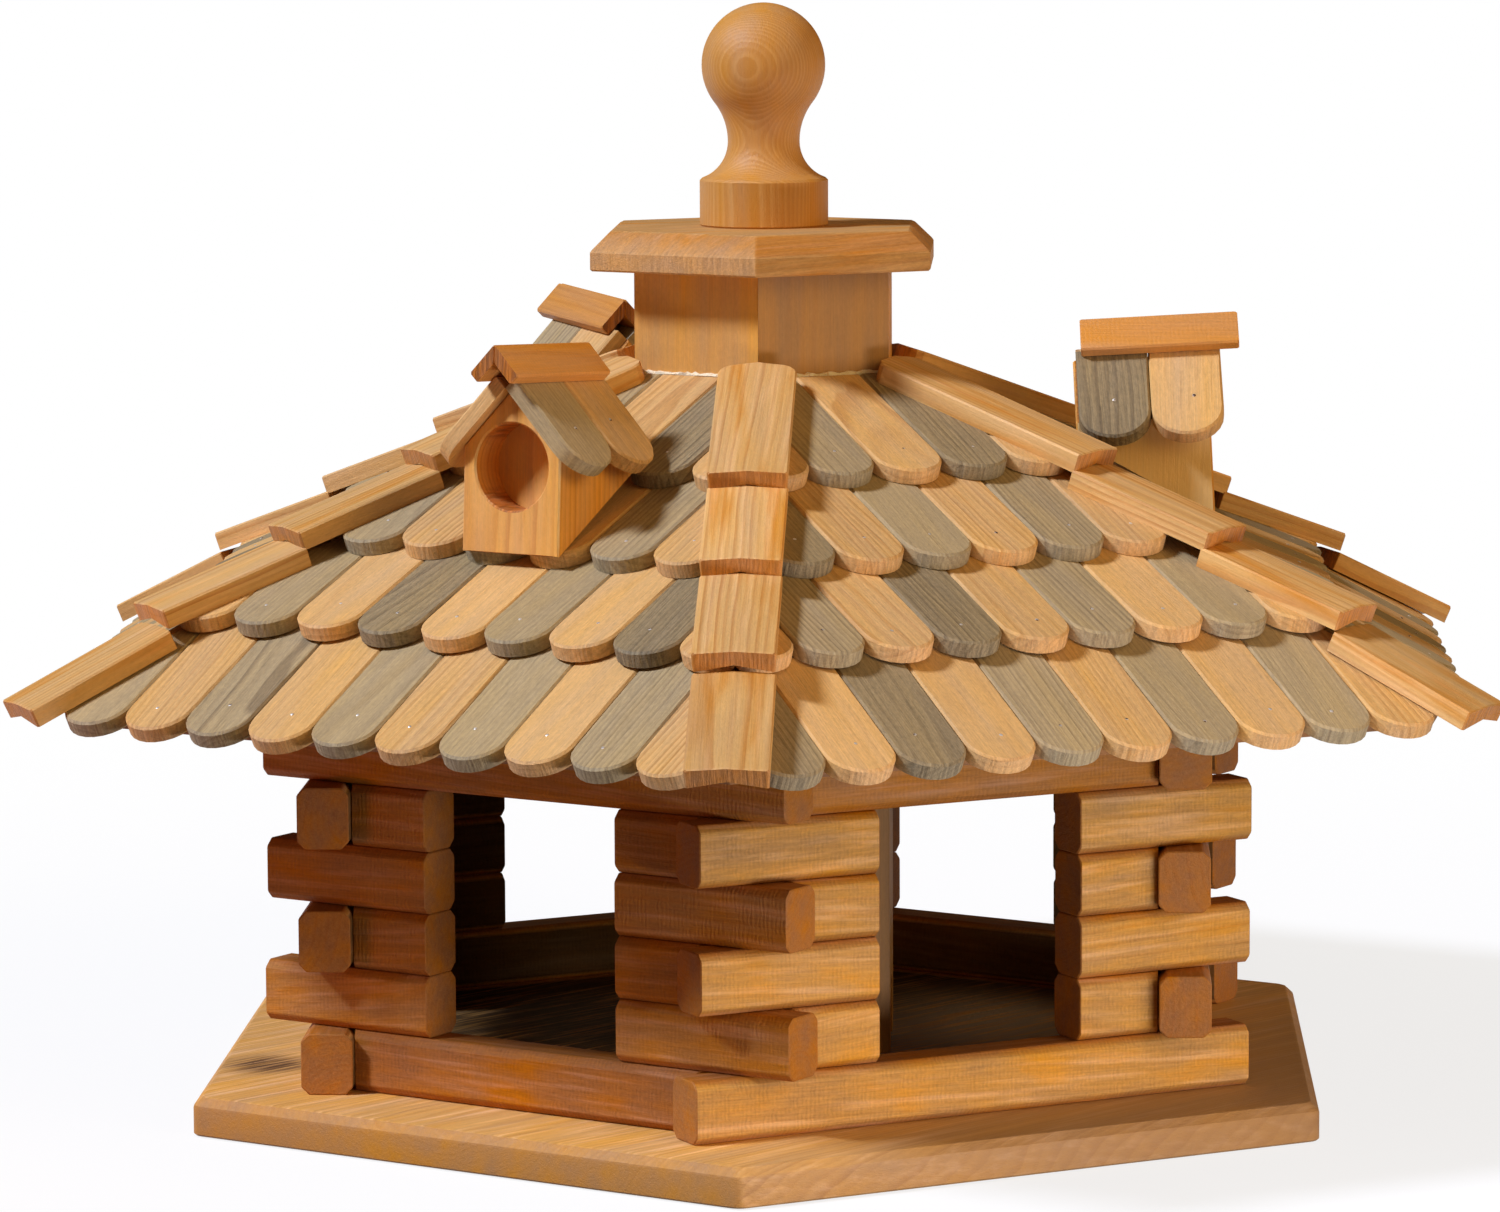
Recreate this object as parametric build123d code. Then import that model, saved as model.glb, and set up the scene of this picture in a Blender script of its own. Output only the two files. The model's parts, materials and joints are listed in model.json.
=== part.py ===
from build123d import *
import math
import os

# A hexagonal log-cabin bird feeder with a seed silo in the middle, in millimetres.
# Z is up and the origin is the middle of the floor board's underside. Wall 1 faces -Y,
# and walls, roof faces and hips are numbered anticlockwise as seen from above.
# Each wall and roof face is made once facing +X, with Y to the right as seen from outside.
SIDES = 6
FIRST_WALL_ANGLE = -90

# Floor board
FLOOR_RADIUS = 250
FLOOR_THICK = 15
FLOOR_CHAMFER = 4
FLOOR_ROUND = 6

# Wall logs, stacked so that each course passes the corner on every second wall
WALL_SETBACK = 41.5
LOG_HEIGHT = 24
LOG_THICK = 20
LOG_CHAMFER = 3.8
LOG_PAST_CORNER = 19
WINDOW_WIDTH = 87
WINDOW_COURSES = 4

# Seed silo of six mitred boards, with an arched feed outlet at the foot of each
SILO_FLATS = 100
SILO_BOARD = 10
SILO_ABOVE_ROOF = 45.7
OUTLET_WIDTH = 28
OUTLET_HEIGHT = 26

# Roof panels
ROOF_PITCH = 28.3
PANEL_THICK = 6
PANEL_PAST_WALL = 84

# Round-ended shingles: a flat eave row, then tilted rows that lap over one another
SHINGLE_ROWS = 4
SHINGLE_PITCH = 28.7
SHINGLE_THICK = 6.4
SHINGLE_GAP = 0.3
TIP_DEPTH = 10.5
EAVE_TIP_PAST_PANEL = 13
TOP_TIP_PAST_SILO = 76
EAVE_LAP = 16

# Hip caps, planed to a very shallow roof shape, each resting on its hip
CAP_FLANGE = 15
CAP_THICK = 5.8
CAP_FALL = 4
CAP_PAST_TIPS = 6
CAP_TIP_GAP = 2
EAVE_CAP_PAST = 3
TOP_CAP_GAP = 1

# Dormers, small gabled blocks on every second roof face, leaning back a little
DORMER_LEAN = 3
DORMER_PAST_TIPS = 4
DORMER_DEPTH = 53
DORMER_WIDTH = 44
DORMER_WALL = 40
DORMER_PITCH = 46
HOLE_DIAMETER = 33
HOLE_DEPTH = 15
HOLE_RISE = 33
DORMER_SHINGLE_LENGTH = 44.5
DORMER_SHINGLE_PAST = 5.5
RIDGE_FACE = 16
RIDGE_THICK = 5
RIDGE_PAST_FRONT = 13.5
RIDGE_LENGTH = 63

# Lid: a chamfered plate with a plug below and a turned knob above
LID_OVERHANG = 16.7
LID_THICK = 15.6
LID_CHAMFER = 8
PLUG_DEPTH = 12
PLUG_CLEARANCE = 1.5
TENON_DIAMETER = 20
TENON_DEPTH = 12
TENON_CLEARANCE = 0.2
KNOB_BASE_DIAMETER = 51
KNOB_BASE_HEIGHT = 18
KNOB_CHAMFER = 1
KNOB_NECK_DIAMETER = 28.5
KNOB_NECK_HEIGHT = 33.4
KNOB_BALL_DIAMETER = 49
KNOB_HEIGHT = 88.1

# Clearances
SEAT = 0.1
LID_SEAT = 0.3
SILO_FIT = 0.5

# Sizes that follow from the ones above
TURN = 360 / SIDES
TURN_RADIANS = math.radians(TURN)
HALF = TURN_RADIANS / 2
PITCH = math.radians(ROOF_PITCH)
FLOOR_TOP = FLOOR_THICK
WALL_OUT = FLOOR_RADIUS * math.cos(HALF) - WALL_SETBACK
WALL_IN = WALL_OUT - LOG_THICK
CORNER_REACH = WALL_OUT * math.tan(HALF)
SILL_COURSE = 0
LINTEL_COURSE = WINDOW_COURSES + 1
TIE_COURSE = LINTEL_COURSE + 1
PLATE_COURSE = TIE_COURSE + 1
WALL_TOP = FLOOR_TOP + (PLATE_COURSE + 1) * LOG_HEIGHT
UNDERSIDE_APEX = WALL_TOP + WALL_OUT * math.tan(PITCH)
ROOF_APEX = UNDERSIDE_APEX + (PANEL_THICK + SEAT) / math.cos(PITCH)
PANEL_EAVE = WALL_OUT + PANEL_PAST_WALL
SILO_OUT = SILO_FLATS / 2
SILO_CORNER = SILO_OUT / math.cos(HALF)
SILO_TOP = ROOF_APEX - SILO_OUT * math.tan(PITCH) + SILO_ABOVE_ROOF
SILO_HEIGHT = SILO_TOP - FLOOR_TOP
EAVE_TIP = PANEL_EAVE + EAVE_TIP_PAST_PANEL
TOP_TIP = SILO_OUT + TOP_TIP_PAST_SILO
ROW_STEP = (EAVE_TIP - TOP_TIP) / (SHINGLE_ROWS - 1)
TOP_HEAD = (SILO_OUT + SILO_FIT) / math.cos(PITCH)
EAVE_HEAD = (EAVE_TIP - ROW_STEP) / math.cos(PITCH) - EAVE_LAP
HEAD_STEP = (EAVE_HEAD - TOP_HEAD) / (SHINGLE_ROWS - 1)
LAP_TILT = math.asin((SHINGLE_THICK + SEAT) / HEAD_STEP)
DORMER_ROW = SHINGLE_ROWS - 2
DORMER_FRONT = EAVE_TIP - DORMER_ROW * ROW_STEP + DORMER_PAST_TIPS
LARGE = 4 * FLOOR_RADIUS


def around(shape, number):
    """The shape turned from facing +X to wall, roof face or hip position number."""
    return Rot(0, 0, FIRST_WALL_ANGLE + TURN * number) * shape


def trimmed(shape, point, outward):
    """The part of the shape on the inner side of the plane at point facing outward."""
    return split(shape, bisect_by=Plane(origin=point, z_dir=outward), keep=Keep.BOTTOM)


def save(name, solids):
    export_step(Compound(children=[Part() + solid for solid in solids]), f"parts/{name}.step")


def hexagon(flats):
    """A hexagon with flats across its sides and corners on the X axis."""
    return RegularPolygon(flats / 2, SIDES, major_radius=False)


def floor_plate():
    outline = RegularPolygon(FLOOR_RADIUS, SIDES)
    board = extrude(fillet(outline.vertices(), FLOOR_ROUND), FLOOR_THICK)
    return chamfer(board.faces().sort_by(Axis.Z)[-1].edges(), FLOOR_CHAMFER)


def passes_corner(wall, course):
    return (wall + course) % 2 == 1


def log_blank(course, start, end, height=LOG_HEIGHT):
    """A log with chamfered long edges in the wall that faces +X, from start to end along Y."""
    profile = chamfer(Rectangle(LOG_THICK, height).vertices(), LOG_CHAMFER)
    middle = FLOOR_TOP + course * LOG_HEIGHT + height / 2
    place = Plane(origin=(WALL_OUT - LOG_THICK / 2, start, middle), x_dir=(-1, 0, 0), z_dir=(0, 1, 0))
    return extrude(place * profile, end - start)


def log_reach(wall, course):
    """How far a log runs from the middle of its wall before any trimming."""
    return CORNER_REACH + LOG_PAST_CORNER if passes_corner(wall, course) else WALL_OUT


def fitted(log, wall, course):
    """The log butted against the inner faces of the two logs that pass its corners."""
    if passes_corner(wall, course):
        return log
    for side in (-1, 1):
        outward = Vector(math.cos(TURN_RADIANS), side * math.sin(TURN_RADIANS), 0)
        log = trimmed(log, outward * (WALL_IN - SEAT), outward)
    return log


def full_log(wall, course):
    reach = log_reach(wall, course)
    return fitted(log_blank(course, -reach, reach), wall, course)


def window_logs(wall):
    """The short logs on both sides of a window."""
    logs = []
    for course in range(SILL_COURSE + 1, LINTEL_COURSE):
        reach = log_reach(wall, course)
        for start, end in ((-reach, -WINDOW_WIDTH / 2), (WINDOW_WIDTH / 2, reach)):
            logs.append(fitted(log_blank(course, start, end), wall, course))
    return logs


def plate_log(wall):
    """The top log, taller than the rest and bevelled to carry the roof panels."""
    reach = log_reach(wall, PLATE_COURSE)
    bevel = LOG_THICK * math.tan(PITCH)
    height = LOG_HEIGHT + bevel + 2 * LOG_CHAMFER
    log = fitted(log_blank(PLATE_COURSE, -reach, reach, height), wall, PLATE_COURSE)
    for side in (-1, 0, 1):
        turn = side * TURN_RADIANS
        level = Vector(math.cos(turn), math.sin(turn), 0)
        upward = Vector(0, 0, 1)
        log = trimmed(log, upward * UNDERSIDE_APEX, level * math.sin(PITCH) + upward * math.cos(PITCH))
    return log


def between_hips(shape, gap):
    """The shape kept between the two vertical planes through the hips of the face at +X."""
    for side in (-1, 1):
        outward = Vector(-math.sin(HALF), side * math.cos(HALF), 0)
        shape = trimmed(shape, outward * -gap, outward)
    return shape


def silo_board():
    """One mitred board of the silo with its arched feed outlet."""
    board = Pos(SILO_OUT - SILO_BOARD / 2, 0, FLOOR_TOP) * Box(
        SILO_BOARD, SILO_FLATS, SILO_HEIGHT, align=(Align.CENTER, Align.CENTER, Align.MIN)
    )
    board = between_hips(board, SEAT / 2)
    spring = OUTLET_HEIGHT - OUTLET_WIDTH / 2
    arch = Pos(0, spring / 2) * Rectangle(OUTLET_WIDTH, spring) + Pos(0, spring) * Circle(OUTLET_WIDTH / 2)
    cutter = extrude(Plane(origin=(0, 0, FLOOR_TOP), x_dir=(0, 1, 0), z_dir=(1, 0, 0)) * arch, SILO_FLATS)
    return board - cutter


def slope_plane(distance, tilt):
    """A plane on the panel's top, distance down the slope, raised by tilt towards the eave.
    Its X axis runs down the slope and its Y axis along the eave."""
    angle = PITCH - tilt
    return Plane(
        origin=(distance * math.cos(PITCH), 0, ROOF_APEX - distance * math.sin(PITCH)),
        x_dir=(math.cos(angle), 0, -math.sin(angle)),
        z_dir=(math.sin(angle), 0, math.cos(angle)),
    )


def roof_panel():
    length = PANEL_EAVE / math.cos(PITCH)
    blank = Pos(length / 2, 0, -PANEL_THICK / 2) * Box(length, LARGE, PANEL_THICK)
    panel = between_hips(slope_plane(0, 0) * blank, SEAT / 2)
    return trimmed(panel, (SILO_OUT + SILO_FIT, 0, 0), (-1, 0, 0))


def row_tilt(row):
    return LAP_TILT if row else 0


def row_tip(row):
    """Distance of a row's tips from the middle of the house."""
    return EAVE_TIP - row * ROW_STEP


def row_head(row):
    """Distance of a row's hidden upper ends down the slope."""
    if row:
        return TOP_HEAD + (SHINGLE_ROWS - 1 - row) * HEAD_STEP
    return row_head(1) + (SHINGLE_THICK + 2 * SEAT) / math.tan(LAP_TILT)


def row_length(row):
    run = row_tip(row) - row_head(row) * math.cos(PITCH)
    return run / math.cos(PITCH - row_tilt(row))


def lath(length, width, thickness):
    """A shingle lying along X from its square head at 0 to its round tip, on the XY plane."""
    shoulder = length - TIP_DEPTH
    sides = Polyline((shoulder, -width / 2), (0, -width / 2), (0, width / 2), (shoulder, width / 2))
    tip = ThreePointArc((shoulder, width / 2), (length, 0), (shoulder, -width / 2))
    return extrude(make_face([*sides.edges(), tip]), thickness)


def cap_cover():
    """How much of a row's width one flange of a hip cap hides, along the eave."""
    hip_lean = math.atan(math.tan(HALF) * math.cos(PITCH))
    return CAP_FLANGE / math.cos(hip_lean)


def row_shingles(row):
    """One roof face's shingles in a row, as pairs of solid and whether it is stained grey.
    Rows are staggered by half a shingle and the stain alternates along each row."""
    width = SHINGLE_PITCH - SHINGLE_GAP
    offset = 0.5 if row % 2 == 0 else 0
    shown = row_tip(row) * math.tan(HALF) - cap_cover()
    count = math.ceil(shown / SHINGLE_PITCH + 0.5 - offset)
    bed = slope_plane(row_head(row), row_tilt(row))
    shingles = []
    for step in range(-count, count):
        middle = (step + offset) * SHINGLE_PITCH
        if abs(middle) - SHINGLE_PITCH / 2 < shown:
            blank = bed * Pos(0, middle, SEAT) * lath(row_length(row), width, SHINGLE_THICK)
            shingles.append((between_hips(blank, SEAT), step % 2 == 1))
    return shingles


def row_nodes(row):
    """The grey and the natural shingles of a row round all roof faces."""
    grey = []
    natural = []
    for shingle, stained in row_shingles(row):
        target = grey if stained else natural
        target.extend(around(shingle, face) for face in range(SIDES))
    return grey, natural


def hip_cap(row):
    """A cap over the +X hip on one row of shingles, its lower end past the row's tips."""
    angle = PITCH - row_tilt(row)
    hip_slope = math.atan(math.tan(angle) * math.cos(HALF))
    head_run = row_head(row) * math.cos(PITCH)
    lift = (SHINGLE_THICK + 2 * SEAT) / math.cos(angle)
    ridge_apex = ROOF_APEX - head_run * math.tan(PITCH) + head_run * math.tan(angle) + lift
    lower_past = CAP_PAST_TIPS if row else EAVE_CAP_PAST
    lower = (row_tip(row) + lower_past * math.cos(PITCH)) / math.cos(HALF)
    upper = (row_tip(row + 1) + CAP_TIP_GAP) / math.cos(HALF)
    if row == SHINGLE_ROWS - 1:
        upper = SILO_CORNER + TOP_CAP_GAP
    along = Vector(math.cos(hip_slope), 0, -math.sin(hip_slope))
    start = Vector(upper, 0, ridge_apex - upper * math.tan(hip_slope))
    fall = math.radians(CAP_FALL)
    flange = Vector(math.cos(fall), -math.sin(fall)) * CAP_FLANGE
    edge = flange + Vector(math.sin(fall), math.cos(fall)) * CAP_THICK
    right = [(flange.X, flange.Y), (edge.X, edge.Y)]
    left = [(-x, y) for x, y in reversed(right)]
    outline = [(0, 0), *right, (0, CAP_THICK / math.cos(fall)), *left]
    section = make_face(Polyline(*outline, close=True).edges())
    length = (lower - upper) / math.cos(hip_slope)
    return extrude(Plane(origin=start, x_dir=(0, 1, 0), z_dir=along) * section, length)


def hip_caps(hip):
    return [around(Rot(0, 0, TURN / 2) * hip_cap(row), hip) for row in range(SHINGLE_ROWS)]


def tip_top(row):
    """The top edge of a row's tips, as distance from the middle and height."""
    bed = slope_plane(row_head(row), row_tilt(row))
    point = bed.from_local_coords(Vector(row_length(row), 0, SHINGLE_THICK + SEAT))
    return point.X, point.Z


def dormer_sizes():
    """Underside slope, front foot height, eaves height and apex height of the dormer block,
    which beds on the tips of the two highest rows."""
    upper_run, upper_height = tip_top(DORMER_ROW + 1)
    lower_run, lower_height = tip_top(DORMER_ROW)
    slope = (upper_height - lower_height) / (lower_run - upper_run)
    foot = lower_height + SEAT - (DORMER_FRONT - lower_run) * slope
    eaves = foot + DORMER_WALL
    apex = eaves + DORMER_WIDTH / 2 * math.tan(math.radians(DORMER_PITCH))
    return slope, foot, eaves, apex


def leaning(shape):
    """The shape turned back about the dormer's front foot."""
    foot = Pos(DORMER_FRONT, 0, dormer_sizes()[1])
    return foot * Rot(0, -DORMER_LEAN, 0) * foot.inverse() * shape


def dormer_block():
    """The gabled block with its blind round nest hole, cut below to its bed."""
    slope, foot, eaves, apex = dormer_sizes()
    half = DORMER_WIDTH / 2
    gable = Polyline((-half, foot), (half, foot), (half, eaves), (0, apex), (-half, eaves), close=True)
    front = Plane(origin=(DORMER_FRONT, 0, 0), x_dir=(0, 1, 0), z_dir=(1, 0, 0))
    block = extrude(front * make_face(gable.edges()), -DORMER_DEPTH)
    hole = extrude(front * Pos(0, foot + HOLE_RISE) * Circle(HOLE_DIAMETER / 2), -HOLE_DEPTH)
    return trimmed(leaning(block - hole), (DORMER_FRONT, 0, foot), (-slope, 0, -1))


def gable_plane(side, run):
    """The bed of a dormer shingle: X down the gable slope, from the apex at run from the middle."""
    apex = dormer_sizes()[3]
    angle = math.radians(DORMER_PITCH)
    return Plane(
        origin=(run, 0, apex),
        x_dir=(0, side * math.cos(angle), -math.sin(angle)),
        z_dir=(0, side * math.sin(angle), math.cos(angle)),
    )


def dormer_shingles():
    """Two shingles on each gable slope, as pairs of solid and whether it is stained grey."""
    width = SHINGLE_PITCH - SHINGLE_GAP
    shingles = []
    for side in (-1, 1):
        for place in range(2):
            run = DORMER_FRONT + DORMER_SHINGLE_PAST - (place + 0.5) * SHINGLE_PITCH
            blank = lath(DORMER_SHINGLE_LENGTH, width, SHINGLE_THICK)
            shingle = gable_plane(side, run) * Pos(SEAT, 0, SEAT) * blank
            shingles.append((leaning(shingle), (side > 0) == (place == 0)))
    return shingles


def ridge_boards():
    """Two boards mitred together over the top of the dormer's shingles."""
    angle = math.radians(DORMER_PITCH)
    bed_apex = dormer_sizes()[3] + (SHINGLE_THICK + 2 * SEAT) / math.cos(angle)
    top_apex = bed_apex + RIDGE_THICK / math.cos(angle)
    bed_face = RIDGE_FACE - RIDGE_THICK * math.tan(angle)
    boards = []
    for side in (-1, 1):
        outline = Polyline(
            (side * SEAT, bed_apex),
            (side * SEAT, top_apex),
            (side * (SEAT + RIDGE_FACE * math.cos(angle)), top_apex - RIDGE_FACE * math.sin(angle)),
            (side * (SEAT + bed_face * math.cos(angle)), bed_apex - bed_face * math.sin(angle)),
            close=True,
        )
        front = Plane(origin=(DORMER_FRONT + RIDGE_PAST_FRONT, 0, 0), x_dir=(0, 1, 0), z_dir=(1, 0, 0))
        boards.append(leaning(extrude(front * make_face(outline.edges()), -RIDGE_LENGTH)))
    return boards


def lid_plate():
    plate = extrude(hexagon(SILO_FLATS + 2 * LID_OVERHANG), LID_THICK)
    plate = chamfer(plate.faces().sort_by(Axis.Z)[-1].edges(), LID_CHAMFER)
    socket = Pos(0, 0, LID_THICK) * Cylinder(
        TENON_DIAMETER / 2 + TENON_CLEARANCE, 2 * (TENON_DEPTH + TENON_CLEARANCE)
    )
    return Pos(0, 0, SILO_TOP + LID_SEAT) * (plate - socket)


def lid_plug():
    flats = SILO_FLATS - 2 * SILO_BOARD - 2 * PLUG_CLEARANCE
    return Pos(0, 0, SILO_TOP + LID_SEAT - PLUG_DEPTH) * extrude(hexagon(flats), PLUG_DEPTH)


def arc(centre, radius, start, end):
    """A circular arc from the start angle to the end angle."""
    angles = (start, (start + end) / 2, end)
    return ThreePointArc(*[centre + Vector(math.cos(angle), math.sin(angle)) * radius for angle in angles])


def knob():
    """The turned knob: a tenon, a drum with a small chamfer, a cove and a ball. The cove is two
    arcs that meet upright at the neck, and the upper one runs on smoothly into the ball."""
    base = KNOB_BASE_DIAMETER / 2
    ball = KNOB_BALL_DIAMETER / 2
    neck = KNOB_NECK_DIAMETER / 2
    centre = Vector(0, KNOB_HEIGHT - ball)
    drum_edge = Vector(base - KNOB_CHAMFER, KNOB_BASE_HEIGHT + KNOB_CHAMFER)
    drop = KNOB_NECK_HEIGHT - drum_edge.Y
    lower = ((drum_edge.X - neck) ** 2 + drop**2) / (2 * (drum_edge.X - neck))
    climb = centre.Y - KNOB_NECK_HEIGHT
    upper = (neck**2 + climb**2 - ball**2) / (2 * (ball - neck))
    meeting = math.asin(climb / (ball + upper))
    sides = Polyline(
        (0, KNOB_HEIGHT),
        (0, -TENON_DEPTH),
        (TENON_DIAMETER / 2, -TENON_DEPTH),
        (TENON_DIAMETER / 2, 0),
        (base, 0),
        (base, KNOB_BASE_HEIGHT),
        (drum_edge.X, drum_edge.Y),
    )
    curves = [
        arc(Vector(neck + lower, KNOB_NECK_HEIGHT), lower, math.pi + math.asin(drop / lower), math.pi),
        arc(Vector(neck + upper, KNOB_NECK_HEIGHT), upper, math.pi, math.pi - meeting),
        arc(centre, ball, -meeting, math.pi / 2),
    ]
    profile = make_face([*sides.edges(), *[edge for curve in curves for edge in curve.edges()]])
    turned = revolve(Plane.XZ * profile, Axis.Z)
    return Pos(0, 0, SILO_TOP + LID_SEAT + LID_THICK) * turned


def main():
    os.makedirs("parts", exist_ok=True)
    save("floor_plate", [floor_plate()])
    for wall in range(SIDES):
        save(f"sill_log_{wall + 1}", [around(full_log(wall, SILL_COURSE), wall)])
        save(f"window_logs_{wall + 1}", [around(log, wall) for log in window_logs(wall)])
        save(f"lintel_log_{wall + 1}", [around(full_log(wall, LINTEL_COURSE), wall)])
    save("tie_logs", [around(full_log(wall, TIE_COURSE), wall) for wall in range(SIDES)])
    save("plate_logs", [around(plate_log(wall), wall) for wall in range(SIDES)])
    board = silo_board()
    panel = roof_panel()
    for side in range(SIDES):
        save(f"silo_board_{side + 1}", [around(board, side)])
        save(f"roof_panel_{side + 1}", [around(panel, side)])
        save(f"hip_caps_{side + 1}", hip_caps(side))
    for row in range(SHINGLE_ROWS):
        grey, natural = row_nodes(row)
        save(f"grey_shingles_row_{row + 1}", grey)
        save(f"natural_shingles_row_{row + 1}", natural)
    block = dormer_block()
    boards = ridge_boards()
    grey = []
    natural = []
    for number, face in enumerate(range(0, SIDES, 2)):
        save(f"dormer_block_{number + 1}", [around(block, face)])
        save(f"dormer_ridge_{number + 1}", [around(part, face) for part in boards])
        for shingle, stained in dormer_shingles():
            target = grey if stained else natural
            target.append(around(shingle, face))
    save("dormer_grey_shingles", grey)
    save("dormer_natural_shingles", natural)
    save("lid_plate", [lid_plate()])
    save("lid_plug", [lid_plug()])
    save("lid_knob", [knob()])


main()
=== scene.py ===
import json
import math

import bpy
import numpy as np
from mathutils import Euler, Matrix, Vector

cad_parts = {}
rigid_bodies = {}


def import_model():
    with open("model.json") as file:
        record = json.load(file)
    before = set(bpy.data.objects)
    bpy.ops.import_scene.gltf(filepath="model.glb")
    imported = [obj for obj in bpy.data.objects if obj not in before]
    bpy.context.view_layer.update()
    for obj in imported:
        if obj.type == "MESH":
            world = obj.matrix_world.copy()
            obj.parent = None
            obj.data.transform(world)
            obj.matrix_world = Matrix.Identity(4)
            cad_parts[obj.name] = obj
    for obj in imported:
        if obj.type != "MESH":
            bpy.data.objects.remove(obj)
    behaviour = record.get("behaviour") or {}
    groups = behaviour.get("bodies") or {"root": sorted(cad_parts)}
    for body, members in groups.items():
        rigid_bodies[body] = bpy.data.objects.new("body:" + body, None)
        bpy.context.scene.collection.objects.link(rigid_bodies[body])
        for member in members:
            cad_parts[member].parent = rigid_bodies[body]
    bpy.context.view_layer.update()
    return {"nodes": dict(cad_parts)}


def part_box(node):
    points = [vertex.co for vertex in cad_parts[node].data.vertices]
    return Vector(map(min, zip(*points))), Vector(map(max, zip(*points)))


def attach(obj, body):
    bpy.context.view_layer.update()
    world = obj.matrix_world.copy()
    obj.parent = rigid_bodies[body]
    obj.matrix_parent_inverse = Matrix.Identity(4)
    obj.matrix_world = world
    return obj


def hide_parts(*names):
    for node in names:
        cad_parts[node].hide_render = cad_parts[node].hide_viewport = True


bl_info = {
    "name": "Hexagonal bird feeder",
    "version": (1, 0, 0),
    "blender": (4, 5, 0),
    "location": "View3D > Sidebar > Feeder",
    "description": "Planed and stained wood, nails and a studio stage for a log-cabin bird feeder",
    "category": "Object",
}

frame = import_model()

# Sizes of the frame in metres and its angles in degrees, as its solids have them
MM = 0.001
SIDES = 6
FIRST_WALL_ANGLE = -90
FLOOR_RADIUS = 250 * MM
FLOOR_THICK = 15 * MM
FLOOR_CHAMFER = 4 * MM
FLOOR_ROUND = 6 * MM
WALL_SETBACK = 41.5 * MM
LOG_HEIGHT = 24 * MM
LOG_THICK = 20 * MM
LOG_PAST_CORNER = 19 * MM
WINDOW_WIDTH = 87 * MM
WINDOW_COURSES = 4
SILO_FLATS = 100 * MM
ROOF_PITCH = 28.3
PANEL_THICK = 6 * MM
PANEL_PAST_WALL = 84 * MM
SHINGLE_ROWS = 4
SHINGLE_PITCH = 28.7 * MM
SHINGLE_THICK = 6.4 * MM
SHINGLE_GAP = 0.3 * MM
EAVE_TIP_PAST_PANEL = 13 * MM
TOP_TIP_PAST_SILO = 76 * MM
EAVE_LAP = 16 * MM
CAP_FLANGE = 15 * MM
CAP_THICK = 5.8 * MM
CAP_FALL = 4
CAP_PAST_TIPS = 6 * MM
CAP_TIP_GAP = 2 * MM
EAVE_CAP_PAST = 3 * MM
TOP_CAP_GAP = 1 * MM
DORMER_LEAN = 3
DORMER_PAST_TIPS = 4 * MM
DORMER_DEPTH = 53 * MM
DORMER_WIDTH = 44 * MM
DORMER_WALL = 40 * MM
DORMER_PITCH = 46
HOLE_DIAMETER = 33 * MM
HOLE_DEPTH = 15 * MM
HOLE_RISE = 33 * MM
DORMER_SHINGLE_LENGTH = 44.5 * MM
DORMER_SHINGLE_PAST = 5.5 * MM
RIDGE_FACE = 16 * MM
RIDGE_THICK = 5 * MM
RIDGE_PAST_FRONT = 13.5 * MM
RIDGE_LENGTH = 63 * MM
LID_OVERHANG = 16.7 * MM
LID_CHAMFER = 8 * MM
KNOB_BASE_DIAMETER = 51 * MM
KNOB_BASE_HEIGHT = 18 * MM
KNOB_CHAMFER = 1 * MM
KNOB_NECK_DIAMETER = 28.5 * MM
KNOB_NECK_HEIGHT = 33.4 * MM
KNOB_BALL_DIAMETER = 49 * MM
KNOB_HEIGHT = 88.1 * MM
SEAT = 0.1 * MM
SILO_FIT = 0.5 * MM

# Sizes that follow from the ones above
TURN = 360 / SIDES
TURN_RADIANS = math.radians(TURN)
HALF = TURN_RADIANS / 2
PITCH = math.radians(ROOF_PITCH)
GABLE = math.radians(DORMER_PITCH)
CAP_TILT = math.radians(CAP_FALL)
WALL_OUT = FLOOR_RADIUS * math.cos(HALF) - WALL_SETBACK
WALL_IN = WALL_OUT - LOG_THICK
CORNER_REACH = WALL_OUT * math.tan(HALF)
LINTEL_COURSE = WINDOW_COURSES + 1
TIE_COURSE = LINTEL_COURSE + 1
WALL_TOP = FLOOR_THICK + (TIE_COURSE + 2) * LOG_HEIGHT
ROOF_APEX = WALL_TOP + WALL_OUT * math.tan(PITCH) + (PANEL_THICK + SEAT) / math.cos(PITCH)
SILO_OUT = SILO_FLATS / 2
SILO_CORNER = SILO_OUT / math.cos(HALF)
EAVE_TIP = WALL_OUT + PANEL_PAST_WALL + EAVE_TIP_PAST_PANEL
ROW_STEP = (EAVE_TIP - SILO_OUT - TOP_TIP_PAST_SILO) / (SHINGLE_ROWS - 1)
TOP_HEAD = (SILO_OUT + SILO_FIT) / math.cos(PITCH)
HEAD_STEP = ((EAVE_TIP - ROW_STEP) / math.cos(PITCH) - EAVE_LAP - TOP_HEAD) / (SHINGLE_ROWS - 1)
LAP_TILT = math.asin((SHINGLE_THICK + SEAT) / HEAD_STEP)
SHINGLE_WIDTH = SHINGLE_PITCH - SHINGLE_GAP
DORMER_ROW = SHINGLE_ROWS - 2
DORMER_FRONT = EAVE_TIP - DORMER_ROW * ROW_STEP + DORMER_PAST_TIPS
LID_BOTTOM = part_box("lid_plate")[0].z
LID_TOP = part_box("lid_plate")[1].z

# Slots of the two kinds of laths
LATH_SLOTS = {"grey": "grey_stained_wood", "natural": "natural_shingle_wood"}

# Edges that turn by more than this, in degrees, stay hard in the shading
SHARP_ANGLE = 21

# Shortest side of a shingle that is cut at a hip
LEAST_SIDE = 1 * MM

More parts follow.
